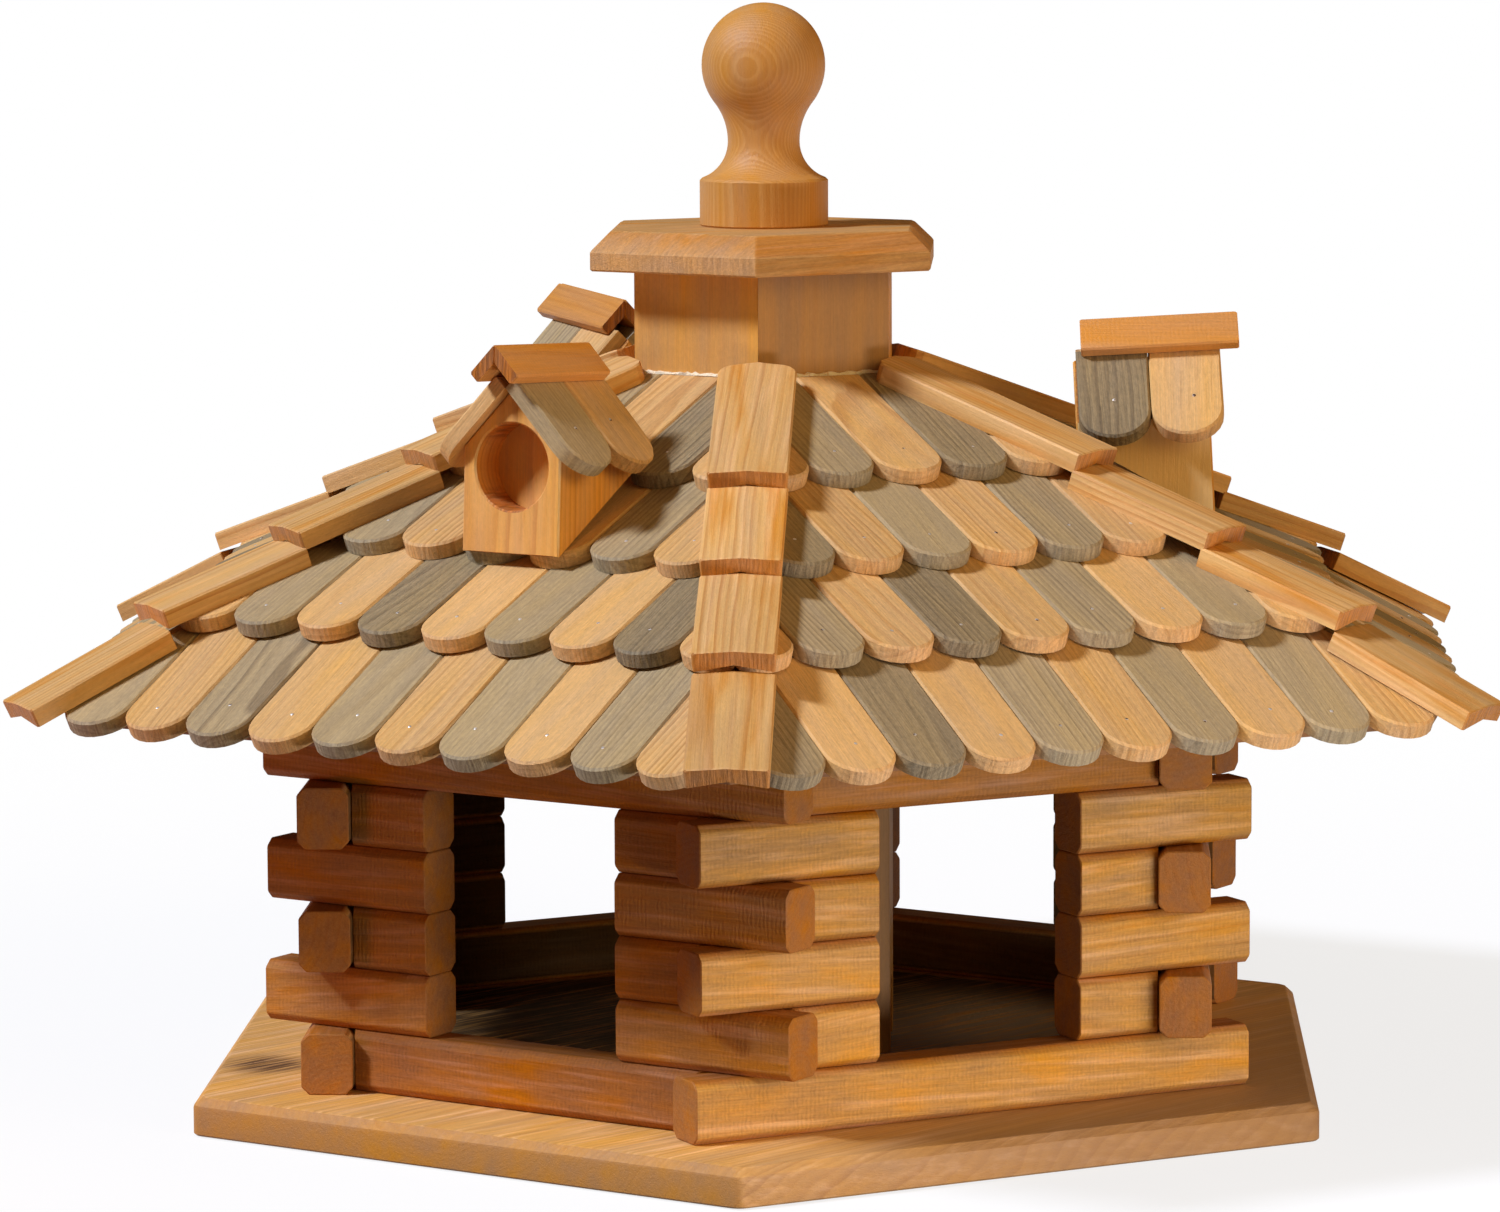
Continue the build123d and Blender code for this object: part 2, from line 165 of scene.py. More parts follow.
# Hand work: how far logs lie in or out, how shingles rise and swing for each metre of length, and
# the ranges by which caps, gable shingles and ridge boards differ in length
LOG_SHIFT = 0.3 * MM
SHINGLE_RISE = 0.004
SHINGLE_SWING = 0.003
CAP_STRAY = (-1 * MM, 0.3 * MM)
GABLE_STRAY = (-0.6 * MM, 0.4 * MM)
RIDGE_STRAY = (-1 * MM, 0)

# Noise of the wood, in cycles in a millimetre along, across and through a piece
DRIFT = (0.011, 0.035, 0.035)
FIBRE = (0.035, 1.6, 1.6)
SPECK = (0.4, 0.9, 0.9)
RIDGE = (0.05, 0.9, 0.08)
GLEAM = (0.016, 0.3, 0.3)
PATCH = (0.3, 0.3, 0.3)
DIRT = (0.02, 0.5, 0.5)

# Pith of each piece: how far its direction strays, in radians, where it lies beside the piece and
# below it, and how far along its tree a piece may come from, in millimetres
PITH_BESIDE_STRAY = 0.3
PITH_BELOW_STRAY = 0.4
TREE_LENGTH = 2000

# How far the solids kept from the frame lie from their pith, in millimetres along and across it
KEPT_PITH = (0, 140, 90)

# Planer marks on the logs: their distance in millimetres and how far patches shift them
PLANER_STEP = 1.8
PLANER_SHIFT = 9

# Direction of the wall lit from the right. Logs on the other walls get painted shade that deepens away from
# it, and the silo board facing it has a darker wood
LIT_WALL_ANGLE = -30

# How fast the painted shade on the logs' outer faces deepens away from that wall, and how far it goes on
# the logs between sill and lintel
SHADE_RISE = 1.5
SHADE_LIMIT = 0.75

# How fast painted shade, in the colour of old feed, darkens the inner faces away from that wall
INNER_SHADE_RISE = 0.6

# Direction of the dormer blocks' side that gets painted light, a paler colour
PAINTED_LIGHT_ANGLE = -60

# How far stain has gathered on the lid's chamfer
LID_CHAMFER_STAIN = 0.75

# Direction of the grain in the lid plate, and the radius of its corners as they show
LID_GRAIN_ANGLE = 60
LID_ROUND = 1.2 * MM

# Floor board: runs along X where painted shade darkens it and where grey dust with a painted sheen lies
# inside, and the middle and fade of a damp patch
SHADE_RUN = (60 * MM, 210 * MM)
DUST_AND_SHEEN_RUN = (-20 * MM, 60 * MM)
SPOT = (-139 * MM, -149 * MM, FLOOR_THICK)
SPOT_FADE = (27 * MM, 6 * MM)

# Nails: how far they lie from the tips of shingles and gable shingles and the ends of caps, how far
# they stray sideways, and how far from a hip they no longer lie under its caps
SHINGLE_NAIL = (13 * MM, 20 * MM)
GABLE_NAIL = (18 * MM, 24 * MM)
CAP_NAIL = (8 * MM, 13 * MM)
NAIL_STRAY = 3 * MM
NAIL_FROM_HIP = 1.9 * CAP_FLANGE

# Bead round the silo: its distance from the boards, the radius of its corners, the least distance of
# its rings and the range of its lumps and swells, as shares of its radius
BEAD_OFFSET = 0.4 * MM
BEAD_CORNER = 3 * MM
BEAD_STEP = 0.2 * MM
BEAD_LUMPS = (0.45, 1.15)
BEAD_SWELLS = (0.6, 1.1)

# Lamps, each with its kind, its azimuth from +X and its elevation, the suns' spread in degrees, and
# the low lamps' distance and size
LAMPS = {
    "key": ("SUN", -128, 45),
    "fill": ("SUN", -5, 20),
    "side": ("AREA", -26, 5),
    "glow": ("AREA", -122, 5),
}
SUN_SPREAD = {"key": 10, "fill": 40}
LAMP_DISTANCE = 0.6
LOW_LAMP_SIZE = (0.2, 0.06)

# The photograph's view, as fitted to the frame
LENS = 149.0
CAMERA_PLACE = (1.3244, -2.0790, 0.4952)
CAMERA_PITCH = 82.954
CAMERA_TURN = 32.645
CAMERA_ROLL = -0.268


def colour(name, about, red, green, blue):
    """A colour property from the 0 to 255 values that a picture would show for it."""
    shown = np.array((red, green, blue)) / 255
    linear = np.where(shown > 0.04045, ((shown + 0.055) / 1.055) ** 2.4, shown / 12.92)
    return bpy.props.FloatVectorProperty(
        name=name, description=about, subtype="COLOR", size=3, min=0, max=1, default=linear.tolist()
    )


def length(name, about, millimetres):
    """A length property, kept in metres."""
    return bpy.props.FloatProperty(
        name=name, description=about, unit="LENGTH", min=0, precision=5, default=millimetres * MM
    )


def strength(name, about, value):
    """The strength of a lamp or of the sky."""
    return bpy.props.FloatProperty(name=name, description=about, min=0, default=value)


class FeederSizes(bpy.types.PropertyGroup):
    """Small sizes that only the look has"""

    edge: length("Edge ease", "Width of the small bevel on sawn edges", 0.7)
    log_edge: length("Log ease", "Width of the small bevel on the logs' edges", 0.4)
    log_chamfer: length("Log chamfer", "Width of the logs' chamfers as they show", 2.9)
    tip_depth: length("Tip depth", "Depth of the rounded part of a shingle's tip", 13)
    tip_edge: length("Tip ease", "Width of the bevel round a shingle's top edge", 0.9)
    log_stray: length("Log stray", "How far log ends differ in length", 1.3)
    shingle_stray: length("Shingle stray", "How far shingle tips differ in length", 0.7)
    cap_drop: length("Cap drop", "How far the caps' rims reach below their middles", 1.8)
    cap_corner: length("Cap corner", "Radius of the top caps' upper corners", 7)
    nail: length("Nail radius", "Radius of a nail head", 0.8)
    bead: length("Bead radius", "Radius of the filler bead round the silo", 1.4)


class FeederColours(bpy.types.PropertyGroup):
    """Colours of the woods, the nails and the bead"""

    natural: colour("Natural shingle", "Unstained shingle wood", 211, 167, 106)
    natural_ring: colour("Natural ring", "Late wood of natural shingles", 172, 116, 56)
    natural_end: colour("Natural end", "Cut tips of natural shingles", 212, 170, 116)
    grey: colour("Grey shingle", "Grey-stained shingle wood", 172, 149, 108)
    grey_ring: colour("Grey ring", "Late wood of grey shingles", 112, 92, 66)
    grey_end: colour("Grey end", "Cut tips of grey shingles", 160, 146, 116)
    cap: colour("Cap", "Hip cap wood", 218, 171, 104)
    cap_ring: colour("Cap ring", "Late wood of hip caps", 178, 112, 44)
    cap_end: colour("Cap end", "Cut ends of hip caps", 190, 130, 66)
    log: colour("Log", "Wall log wood", 198, 148, 74)
    log_ring: colour("Log ring", "Late wood of wall logs", 160, 94, 32)
    log_end: colour("Log end", "Cut ends of wall logs", 162, 106, 50)
    # Stain on the logs' chamfers, and painted shade on walls away from the lit wall and under the eaves
    log_deep_and_shade: colour("Log chamfer", "Stain gathered on the logs' chamfers", 152, 84, 24)
    board: colour("Floor", "Floor board wood", 208, 156, 84)
    board_ring: colour("Floor ring", "Late wood of the floor board", 166, 110, 50)
    # Painted shade: the board darkens to the right, where the house shades it
    board_shade: colour("Worn board", "Floor board where the weather has greyed it", 146, 110, 74)
    board_end: colour("Floor end", "Cut edges of the floor board", 170, 120, 55)
    # Old feed inside the walls, also painted shade there and on the logs' inner faces
    feed_and_shade: colour("Old feed", "Dark of the floor inside the walls", 38, 30, 26)
    # Dust inside the walls towards the right, with a painted sheen
    dust_and_sheen: colour("Seed dust", "Grey of the floor inside where dust lies", 150, 145, 150)
    silo: colour("Silo", "Silo board wood", 218, 158, 78)
    silo_ring: colour("Silo ring", "Late wood of the silo", 188, 120, 54)
    # A duller, greyer silo board, partly its own tone and partly painted shade on its side
    dull_and_shaded: colour("Dull silo", "Silo board that the sun has bleached", 178, 133, 78)
    dull_and_shaded_ring: colour("Dull silo ring", "Late wood of the bleached silo board", 152, 101, 56)
    dormer: colour("Dormer", "Dormer block wood", 226, 166, 86)
    dormer_ring: colour("Dormer ring", "Late wood of the dormer blocks", 180, 108, 44)
    # Painted light: the pale colour of the dormer blocks' side that faces the light
    dormer_painted_light: colour("Dormer in the sun", "Sunny side of the dormer blocks", 255, 228, 165)
    ridge: colour("Dormer ridge", "Dormer ridge board wood", 206, 142, 72)
    ridge_ring: colour("Ridge ring", "Late wood of dormer ridge boards", 168, 102, 44)
    lid: colour("Lid", "Lid plate wood", 200, 152, 90)
    lid_ring: colour("Lid ring", "Late wood of the lid plate", 164, 100, 44)
    lid_end: colour("Lid end", "Cut sides of the lid plate", 204, 154, 98)
    knob: colour("Knob", "Knob wood", 194, 135, 65)
    knob_ring: colour("Knob ring", "Pale rings of the knob", 230, 182, 114)
    amber: colour("Amber", "Resin and stain gathered in streaks", 190, 116, 34)
    panel: colour("Panel", "Roof panel plywood", 150, 104, 60)
    panel_ring: colour("Panel ring", "Dark streaks of the roof panels", 110, 70, 38)
    nail: colour("Nail", "Nail heads", 228, 222, 212)
    rust: colour("Rust", "Tarnish of nail heads and the damp patch", 92, 62, 40)
    bead: colour("Bead", "Filler bead round the silo", 240, 226, 192)


class FeederStage(bpy.types.PropertyGroup):
    """Strengths and colours of the studio's lights and floor"""

    key: strength("Key light", "Strength of the upper left sun", 4.2)
    fill: strength("Fill light", "Strength of the right sun", 1.15)
    side: strength("Side light", "Power of the low right lamp", 1.2)
    glow: strength("Glow", "Power of the low left lamp", 0.26)
    sky: strength("Sky", "Strength of the even light", 0.15)
    key_tint: colour("Key tint", "Colour of the key light", 225, 234, 255)
    fill_tint: colour("Fill tint", "Colour of the right sun", 255, 215, 145)
    glow_tint: colour("Glow tint", "Colour of the low left lamp", 255, 120, 60)
    side_tint: colour("Side tint", "Colour of the side light", 248, 244, 255)
    sky_tint: colour("Sky tint", "Colour of the even light", 255, 212, 165)
    floor: colour("Floor", "Colour of the studio floor", 247, 247, 247)
    bounce: colour("Bounce", "Colour of the studio floor as other pieces see it", 70, 66, 62)


def sizes():
    """The settings for small sizes."""
    return bpy.context.scene.feeder_sizes


def paint(name):
    """The named colour with full opacity, for a shader socket."""
    return (*getattr(bpy.context.scene.feeder_colours, name), 1)


# Shapes


def turned(points, degrees):
    """Points turned about Z: one angle for all, or one for each piece along the first axis."""
    angle = np.radians(np.asarray(degrees, float))
    angle = angle.reshape(angle.shape + (1,) * (points.ndim - 1 - angle.ndim))
    x, y, z = np.moveaxis(points, -1, 0)
    cos = np.cos(angle)
    sin = np.sin(angle)
    return np.stack(np.broadcast_arrays(x * cos - y * sin, x * sin + y * cos, z), axis=-1)


def facing(number):
    """The angle of a wall or roof face, which was made facing +X."""
    return FIRST_WALL_ANGLE + TURN * np.asarray(number)


def heading(degrees):
    """The level direction at this angle from +X."""
    return (math.cos(math.radians(degrees)), math.sin(math.radians(degrees)), 0)


def eased(corners, width):
    """A polygon with each corner cut off at width along both of its sides."""
    before = np.roll(corners, 1, axis=0) - corners
    after = np.roll(corners, -1, axis=0) - corners
    before = corners + before / np.linalg.norm(before, axis=1, keepdims=True) * width
    after = corners + after / np.linalg.norm(after, axis=1, keepdims=True) * width
    return np.stack((before, after), axis=1).reshape(-1, 2)


def divided(corners, count):
    """A polygon with each of its sides divided into count steps."""
    share = np.linspace(0, 1, count, endpoint=False)[:, None]
    after = np.roll(corners, -1, axis=0)
    return (corners[:, None] + (after - corners)[:, None] * share).reshape(-1, 2)


def inset(outline, width):
    """Outlines [..., k, 2] that run anticlockwise, each point moved inward along its normal."""
    chord = np.roll(outline, -1, axis=-2) - np.roll(outline, 1, axis=-2)
    chord = chord / np.linalg.norm(chord, axis=-1, keepdims=True)
    return outline + np.stack((-chord[..., 1], chord[..., 0]), axis=-1) * width


def outward(rings, *others):
    """The rings with point order reversed on each piece whose last ring would face inward.
    The area vector of the last ring has to point from the first ring towards the last."""
    last = rings[:, -1]
    middle = last.mean(axis=1, keepdims=True)
    area = np.cross(last - middle, np.roll(last, -1, axis=1) - middle).sum(axis=1)
    path = last.mean(axis=1) - rings[:, 0].mean(axis=1)
    wrong = ((area * path).sum(axis=-1) < 0)[:, None, None, None]
    return [np.where(wrong, item[:, :, ::-1], item) for item in (rings, *others)]


def loft(name, rings, loop=False, **vectors):
    """Closed pieces from stacks of rings: rings[n, r, k] is point k of ring r of piece n.
    Quads join each ring to the next and a face closes each end, or the last ring meets the
    first in a loop. Each named vector is stored as a point attribute."""
    pieces, stack, around = rings.shape[:3]
    index = np.arange(pieces * stack * around).reshape(pieces, stack, around)
    if loop:
        index = np.concatenate((index, index[:, :1]), axis=1)
    ahead = np.roll(index, -1, axis=2)
    quads = np.stack((index[:, :-1], ahead[:, :-1], ahead[:, 1:], index[:, 1:]), axis=-1)
    faces = quads.reshape(-1, 4).tolist()
    if not loop:
        faces += index[:, 0, ::-1].tolist() + index[:, -1].tolist()
    mesh = bpy.data.meshes.new(name)
    mesh.from_pydata(rings.reshape(-1, 3).tolist(), [], faces)
    for attribute, values in vectors.items():
        made = mesh.attributes.new(attribute, "FLOAT_VECTOR", "POINT")
        values = np.broadcast_to(values, rings.shape).astype(np.float32)
        made.data.foreach_set("vector", values.ravel())
    mesh.shade_smooth()
    mesh.set_sharp_from_angle(angle=math.radians(SHARP_ANGLE))
    if mesh.validate():
        raise RuntimeError(f"{name} has bad faces")
    piece = bpy.data.objects.new(name, mesh)
    bpy.context.scene.collection.objects.link(piece)
    return piece


def place(piece, material, body, slot, *nodes):
    """Gives the piece its material, the body it rides on and the nodes it stands for. The slot is not used.
    """
    piece.data.materials.append(material)
    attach(piece, body)
    if nodes:
        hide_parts(*nodes)


def pith(random, count, near, far, quartered):
    """Where each piece lies in its tree: the offset in millimetres of its middle from the pith.
    Quartered pieces have the pith beside them, and the others have it below."""
    is_beside = random.random(count) < quartered
    beside = random.normal(0, PITH_BESIDE_STRAY, count)
    below = random.normal(math.pi / 2, PITH_BELOW_STRAY, count)
    angle = np.where(is_beside, beside, below) + math.pi * random.integers(0, 2, count)
    return np.stack((np.cos(angle), np.sin(angle)), axis=-1) * random.uniform(near, far, (count, 1))


def wooden(name, rings, local, along, random, stain=0, near=20, far=60, quartered=0.5, tilt=0.03):
    """A loft with what its wood needs. local[n, r, k] is (along, across, through) the piece.
    grain is local in millimetres, measured from a random pith that runs slightly askew.
    along is the grain's direction in space, and lot is two random shares and the stain, which on the logs
    also holds painted shade."""
    count = len(rings)
    grain = local / MM
    middle = pith(random, count, near, far, quartered)
    middle = middle[:, None, None, :] + grain[..., :1] * random.normal(0, tilt, (count, 1, 1, 2))
    shift = random.uniform(0, TREE_LENGTH, (count, 1, 1))
    grain = np.stack((grain[..., 0] + shift, *np.moveaxis(grain[..., 1:] + middle, -1, 0)), axis=-1)
    shares = np.broadcast_to(random.random((count, 1, 1, 2)), (*rings.shape[:3], 2))
    stained = np.broadcast_to(stain, rings.shape[:3])[..., None]
    lot = np.concatenate((shares, stained), axis=-1)
    along = np.broadcast_to(np.asarray(along).reshape(-1, 1, 1, 3), rings.shape)
    rings, grain, along, lot = outward(rings, grain, along, lot)
    return loft(name, rings, grain=grain, along=along, lot=lot)


def hexagon_outline(apothem, radius, steps):
    """A hexagon with flats facing the walls and its corners rounded by arcs of that radius."""
    corner = np.radians(facing(np.arange(SIDES)) + TURN / 2)[:, None]
    swing = np.linspace(-HALF, HALF, steps)
    reach = (apothem - radius) / math.cos(HALF)
    x = reach * np.cos(corner) + radius * np.cos(corner + swing)
    y = reach * np.sin(corner) + radius * np.sin(corner + swing)
    return np.stack((x, y), axis=-1).reshape(-1, 2)


def hexagon_board(name, apothem, radius, steps, insets, heights, degrees, random, **growth):
    """A level board: a hexagon drawn in by each inset at each height, its grain at this angle."""
    rings = []
    for step, height in zip(insets, heights):
        outline = hexagon_outline(apothem - step, radius, steps)
        rings.append(np.column_stack((outline, np.full(len(outline), height))))
    rings = np.array(rings)[None]
    along = np.array(heading(degrees))
    across = np.array((-along[1], along[0], 0))
    local = np.stack((rings @ along, rings @ across, rings[..., 2] - heights[0]), axis=-1)
    return wooden(name, rings, local, along, random, quartered=0, **growth)


def row_tilt(row):
    """How much flatter than the panels a row lies. The eave row lies on them."""
    return LAP_TILT if row else 0


def row_tip(row):
    """How far a row's tips are from the feeder's axis, on the level."""
    return EAVE_TIP - row * ROW_STEP


def row_head(row):
    """How far a row's upper ends are from the apex, down the slope of the panels."""
    if row:
        return TOP_HEAD + (SHINGLE_ROWS - 1 - row) * HEAD_STEP
    return row_head(1) + (SHINGLE_THICK + 2 * SEAT) / math.tan(LAP_TILT)


def row_frame(row):
    """Origin, down-slope axis and normal of a row's underside on the face at +X."""
    angle = PITCH - row_tilt(row)
    origin = np.array((row_head(row) * math.cos(PITCH), 0, ROOF_APEX - row_head(row) * math.sin(PITCH)))
    down = np.array((math.cos(angle), 0, -math.sin(angle)))
    normal = np.array((math.sin(angle), 0, math.cos(angle)))
    return origin, down, normal


def row_length(row):
    """The length of a row's shingles."""
    return (row_tip(row) - row_head(row) * math.cos(PITCH)) / math.cos(PITCH - row_tilt(row))


def row_steps(row):
    """The middles of a row's shingles along the eave, and which of them are stained grey."""
    offset = 0.5 if row % 2 == 0 else 0
    hip_lean = math.atan(math.tan(HALF) * math.cos(PITCH))
    shown = row_tip(row) * math.tan(HALF) - CAP_FLANGE / math.cos(hip_lean)
    count = math.ceil(shown / SHINGLE_PITCH + 0.5 - offset)
    step = np.arange(-count, count)
    middle = (step + offset) * SHINGLE_PITCH
    kept = np.abs(middle) - SHINGLE_PITCH / 2 < shown
    return middle[kept], step[kept] % 2 == 1


def on_every_face(middles):
    """The middles repeated on each roof face in turn, and the number of each one's face."""
    return np.tile(middles, SIDES), np.repeat(np.arange(SIDES), len(middles))


def lath_outline(lengths, offsets, hip_start=None, hip_run=0.0):
    """Anticlockwise outlines of round-ended laths, x along and y across, offset from the face's
    middle. Where hip_start is given, y stays within (hip_start + x hip_run) tan HALF."""
    side = np.where(offsets < 0, -1, 1)[:, None]
    middle = np.abs(offsets)[:, None]
    half = SHINGLE_WIDTH / 2
    shoulder = lengths[:, None] - sizes().tip_depth
    swing = np.linspace(-math.pi / 2, math.pi / 2, 13)
    arc_x = shoulder + sizes().tip_depth * np.cos(swing)
    arc_y = middle + half * np.sin(swing)
    start = np.zeros_like(shoulder)
    bend = shoulder / 2
    if hip_start is not None:
        slack = hip_start - SEAT / math.sin(HALF)
        start = np.maximum(start, ((middle - half) / math.tan(HALF) - slack + LEAST_SIDE) / hip_run)
        crossing = ((middle + half) / math.tan(HALF) - slack) / hip_run
        inside = (crossing > start + LEAST_SIDE) & (crossing < shoulder - LEAST_SIDE)
        bend = np.where(inside, crossing, (start + shoulder) / 2)
    x = np.concatenate((start, arc_x, bend, start), axis=1)
    y = np.concatenate((middle - half, arc_y, middle + half, middle + half), axis=1)
    if hip_start is not None:
        y = np.minimum(y, (slack + x * hip_run) * math.tan(HALF))
    points = np.stack((x, y * side), axis=-1)
    return np.where(side[..., None] < 0, points[:, ::-1], points)


def lath_rings(outline):
    """Bottom, shoulder and eased top ring of laths lying on the XY plane."""
    edge = sizes().tip_edge
    levels = ((outline, 0), (outline, SHINGLE_THICK - edge), (inset(outline, edge), SHINGLE_THICK))
    flat = [np.concatenate((plan, np.full((*plan.shape[:2], 1), level)), axis=-1) for plan, level in levels]
    return np.stack(flat, axis=1)


def tip_top(row):
    """The top edge of a row's tips, as distance from the middle and height."""
    origin, down, normal = row_frame(row)
    point = origin + down * row_length(row) + normal * (SHINGLE_THICK + SEAT)
    return point[0], point[2]


def dormer_sizes():
    """Underside slope, front foot height, eaves height and apex height of a dormer block."""
    upper_run, upper_height = tip_top(DORMER_ROW + 1)
    lower_run, lower_height = tip_top(DORMER_ROW)
    slope = (upper_height - lower_height) / (lower_run - upper_run)
    foot = lower_height + SEAT - (DORMER_FRONT - lower_run) * slope
    eaves = foot + DORMER_WALL
    return slope, foot, eaves, eaves + DORMER_WIDTH / 2 * math.tan(GABLE)


def gable_place(side, rank):
    """A gable shingle on the +X dormer: the middle of its upper end, its way down and its normal."""
    run = DORMER_FRONT + DORMER_SHINGLE_PAST - (rank + 0.5) * SHINGLE_PITCH
    start = np.array((run, 0, dormer_sizes()[3]))
    down = np.array((0, side * math.cos(GABLE), -math.sin(GABLE)))
    normal = np.array((0, side * math.sin(GABLE), math.cos(GABLE)))
    return start, down, normal


def leaning(points):
    """Points turned back about the dormer's front foot, about Y."""
    lean = math.radians(-DORMER_LEAN)
    foot = np.array((DORMER_FRONT, 0, dormer_sizes()[1]))
    x, y, z = np.moveaxis(points - foot, -1, 0)
    moved = (x * math.cos(lean) + z * math.sin(lean), y, z * math.cos(lean) - x * math.sin(lean))
    return np.stack(moved, axis=-1) + foot


# Materials


class Graph:
    """Short calls for the nodes of one material or world."""

    def __init__(self, holder):
        self.holder = holder
        holder.use_nodes = True
        self.tree = holder.node_tree
        self.tree.nodes.clear()

    def add(self, kind, inputs=(), **settings):
        """A node with its settings, its inputs linked from sockets or set to values."""
        node = self.tree.nodes.new("ShaderNode" + kind)
        for key, value in settings.items():
            setattr(node, key, value)
        for key, value in dict(inputs).items():
            if isinstance(value, bpy.types.NodeSocket):
                self.tree.links.new(value, node.inputs[key])
            else:
                node.inputs[key].default_value = value
        return node

    def math(self, operation, *values, clamp=False):
        return self.add("Math", enumerate(values), operation=operation, use_clamp=clamp).outputs[0]

    def times(self, first, second, plus=0.0, clamp=False):
        """The product of two values, plus a third one."""
        return self.math("MULTIPLY_ADD", first, second, plus, clamp=clamp)

    def scaled(self, vector, x, y, z):
        return self.add("VectorMath", {0: vector, 1: (x, y, z)}, operation="MULTIPLY").outputs[0]

    def dot(self, first, second):
        return self.add("VectorMath", {0: first, 1: second}, operation="DOT_PRODUCT").outputs["Value"]

    def span(self, vector):
        return self.add("VectorMath", {0: vector}, operation="LENGTH").outputs["Value"]

    def attribute(self, name):
        return self.add("Attribute", attribute_name=name).outputs["Vector"]

    def objects(self):
        return self.add("TexCoord").outputs["Object"]

    def normals(self):
        return self.add("NewGeometry").outputs["Normal"]

    def noise(self, vector, detail=2.0, roughness=0.5):
        inputs = {"Vector": vector, "Scale": 1.0, "Detail": detail, "Roughness": roughness}
        return self.add("TexNoise", inputs).outputs["Fac"]

    def sway(self, value, pattern, amount):
        """The value, raised where the pattern is above a half and lowered where it is below."""
        return self.times(self.math("SUBTRACT", pattern, 0.5), amount, value)

    def ramp(self, value, low, high):
        """0 at low and before it, 1 at high and past it, smooth between. High may be the lesser."""
        inputs = {"Value": value, "From Min": low, "From Max": high}
        return self.add("MapRange", inputs, interpolation_type="SMOOTHSTEP").outputs[0]

    def mix(self, share, first, second):
        node = self.add("Mix", data_type="RGBA")
        for socket, value in zip((node.inputs[0], node.inputs[6], node.inputs[7]), (share, first, second)):
            if isinstance(value, bpy.types.NodeSocket):
                self.tree.links.new(value, socket)
            else:
                socket.default_value = value
        return node.outputs[2]

    def finish(self, **sockets):
        """The principled shader with these sockets, linked to the output."""
        named = {key.replace("_", " "): value for key, value in sockets.items()}
        shader = self.add("BsdfPrincipled", named)
        self.add("OutputMaterial", {"Surface": shader.outputs[0]})
        return self.holder


def growth_rings(g, coordinates, spacing, wander):
    """How far a point lies in late wood. Its distance from the pith, wandering with noise, counts
    in steps of spacing millimetres. Each step has its own strength, and fades slowly to late wood
    and back at once."""
    drift = g.noise(g.scaled(coordinates, *DRIFT))
    radius = g.span(g.scaled(coordinates, 0, 1, 1))
    steps = g.math("DIVIDE", g.times(drift, wander * spacing, radius), spacing)
    within = g.math("FRACT", steps)
    each = g.add("TexWhiteNoise", {"W": g.math("FLOOR", steps)}, noise_dimensions="1D").outputs["Value"]
    late = g.times(g.ramp(within, 0.2, 0.86), g.ramp(within, 1.0, 0.88))
    return g.times(late, g.times(each, 0.7, 0.3))


def planer_marks(g, coordinates):
    """Waves along the grain that shift, come and go with patches of noise."""
    run = g.add("SeparateXYZ", {0: coordinates}).outputs[0]
    patch = g.noise(g.scaled(coordinates, *PATCH))
    shift = g.times(patch, PLANER_SHIFT)
    wave = g.math("SINE", g.times(run, 2 * math.pi / PLANER_STEP, shift))
    return g.times(wave, g.ramp(patch, 0.3, 0.7))


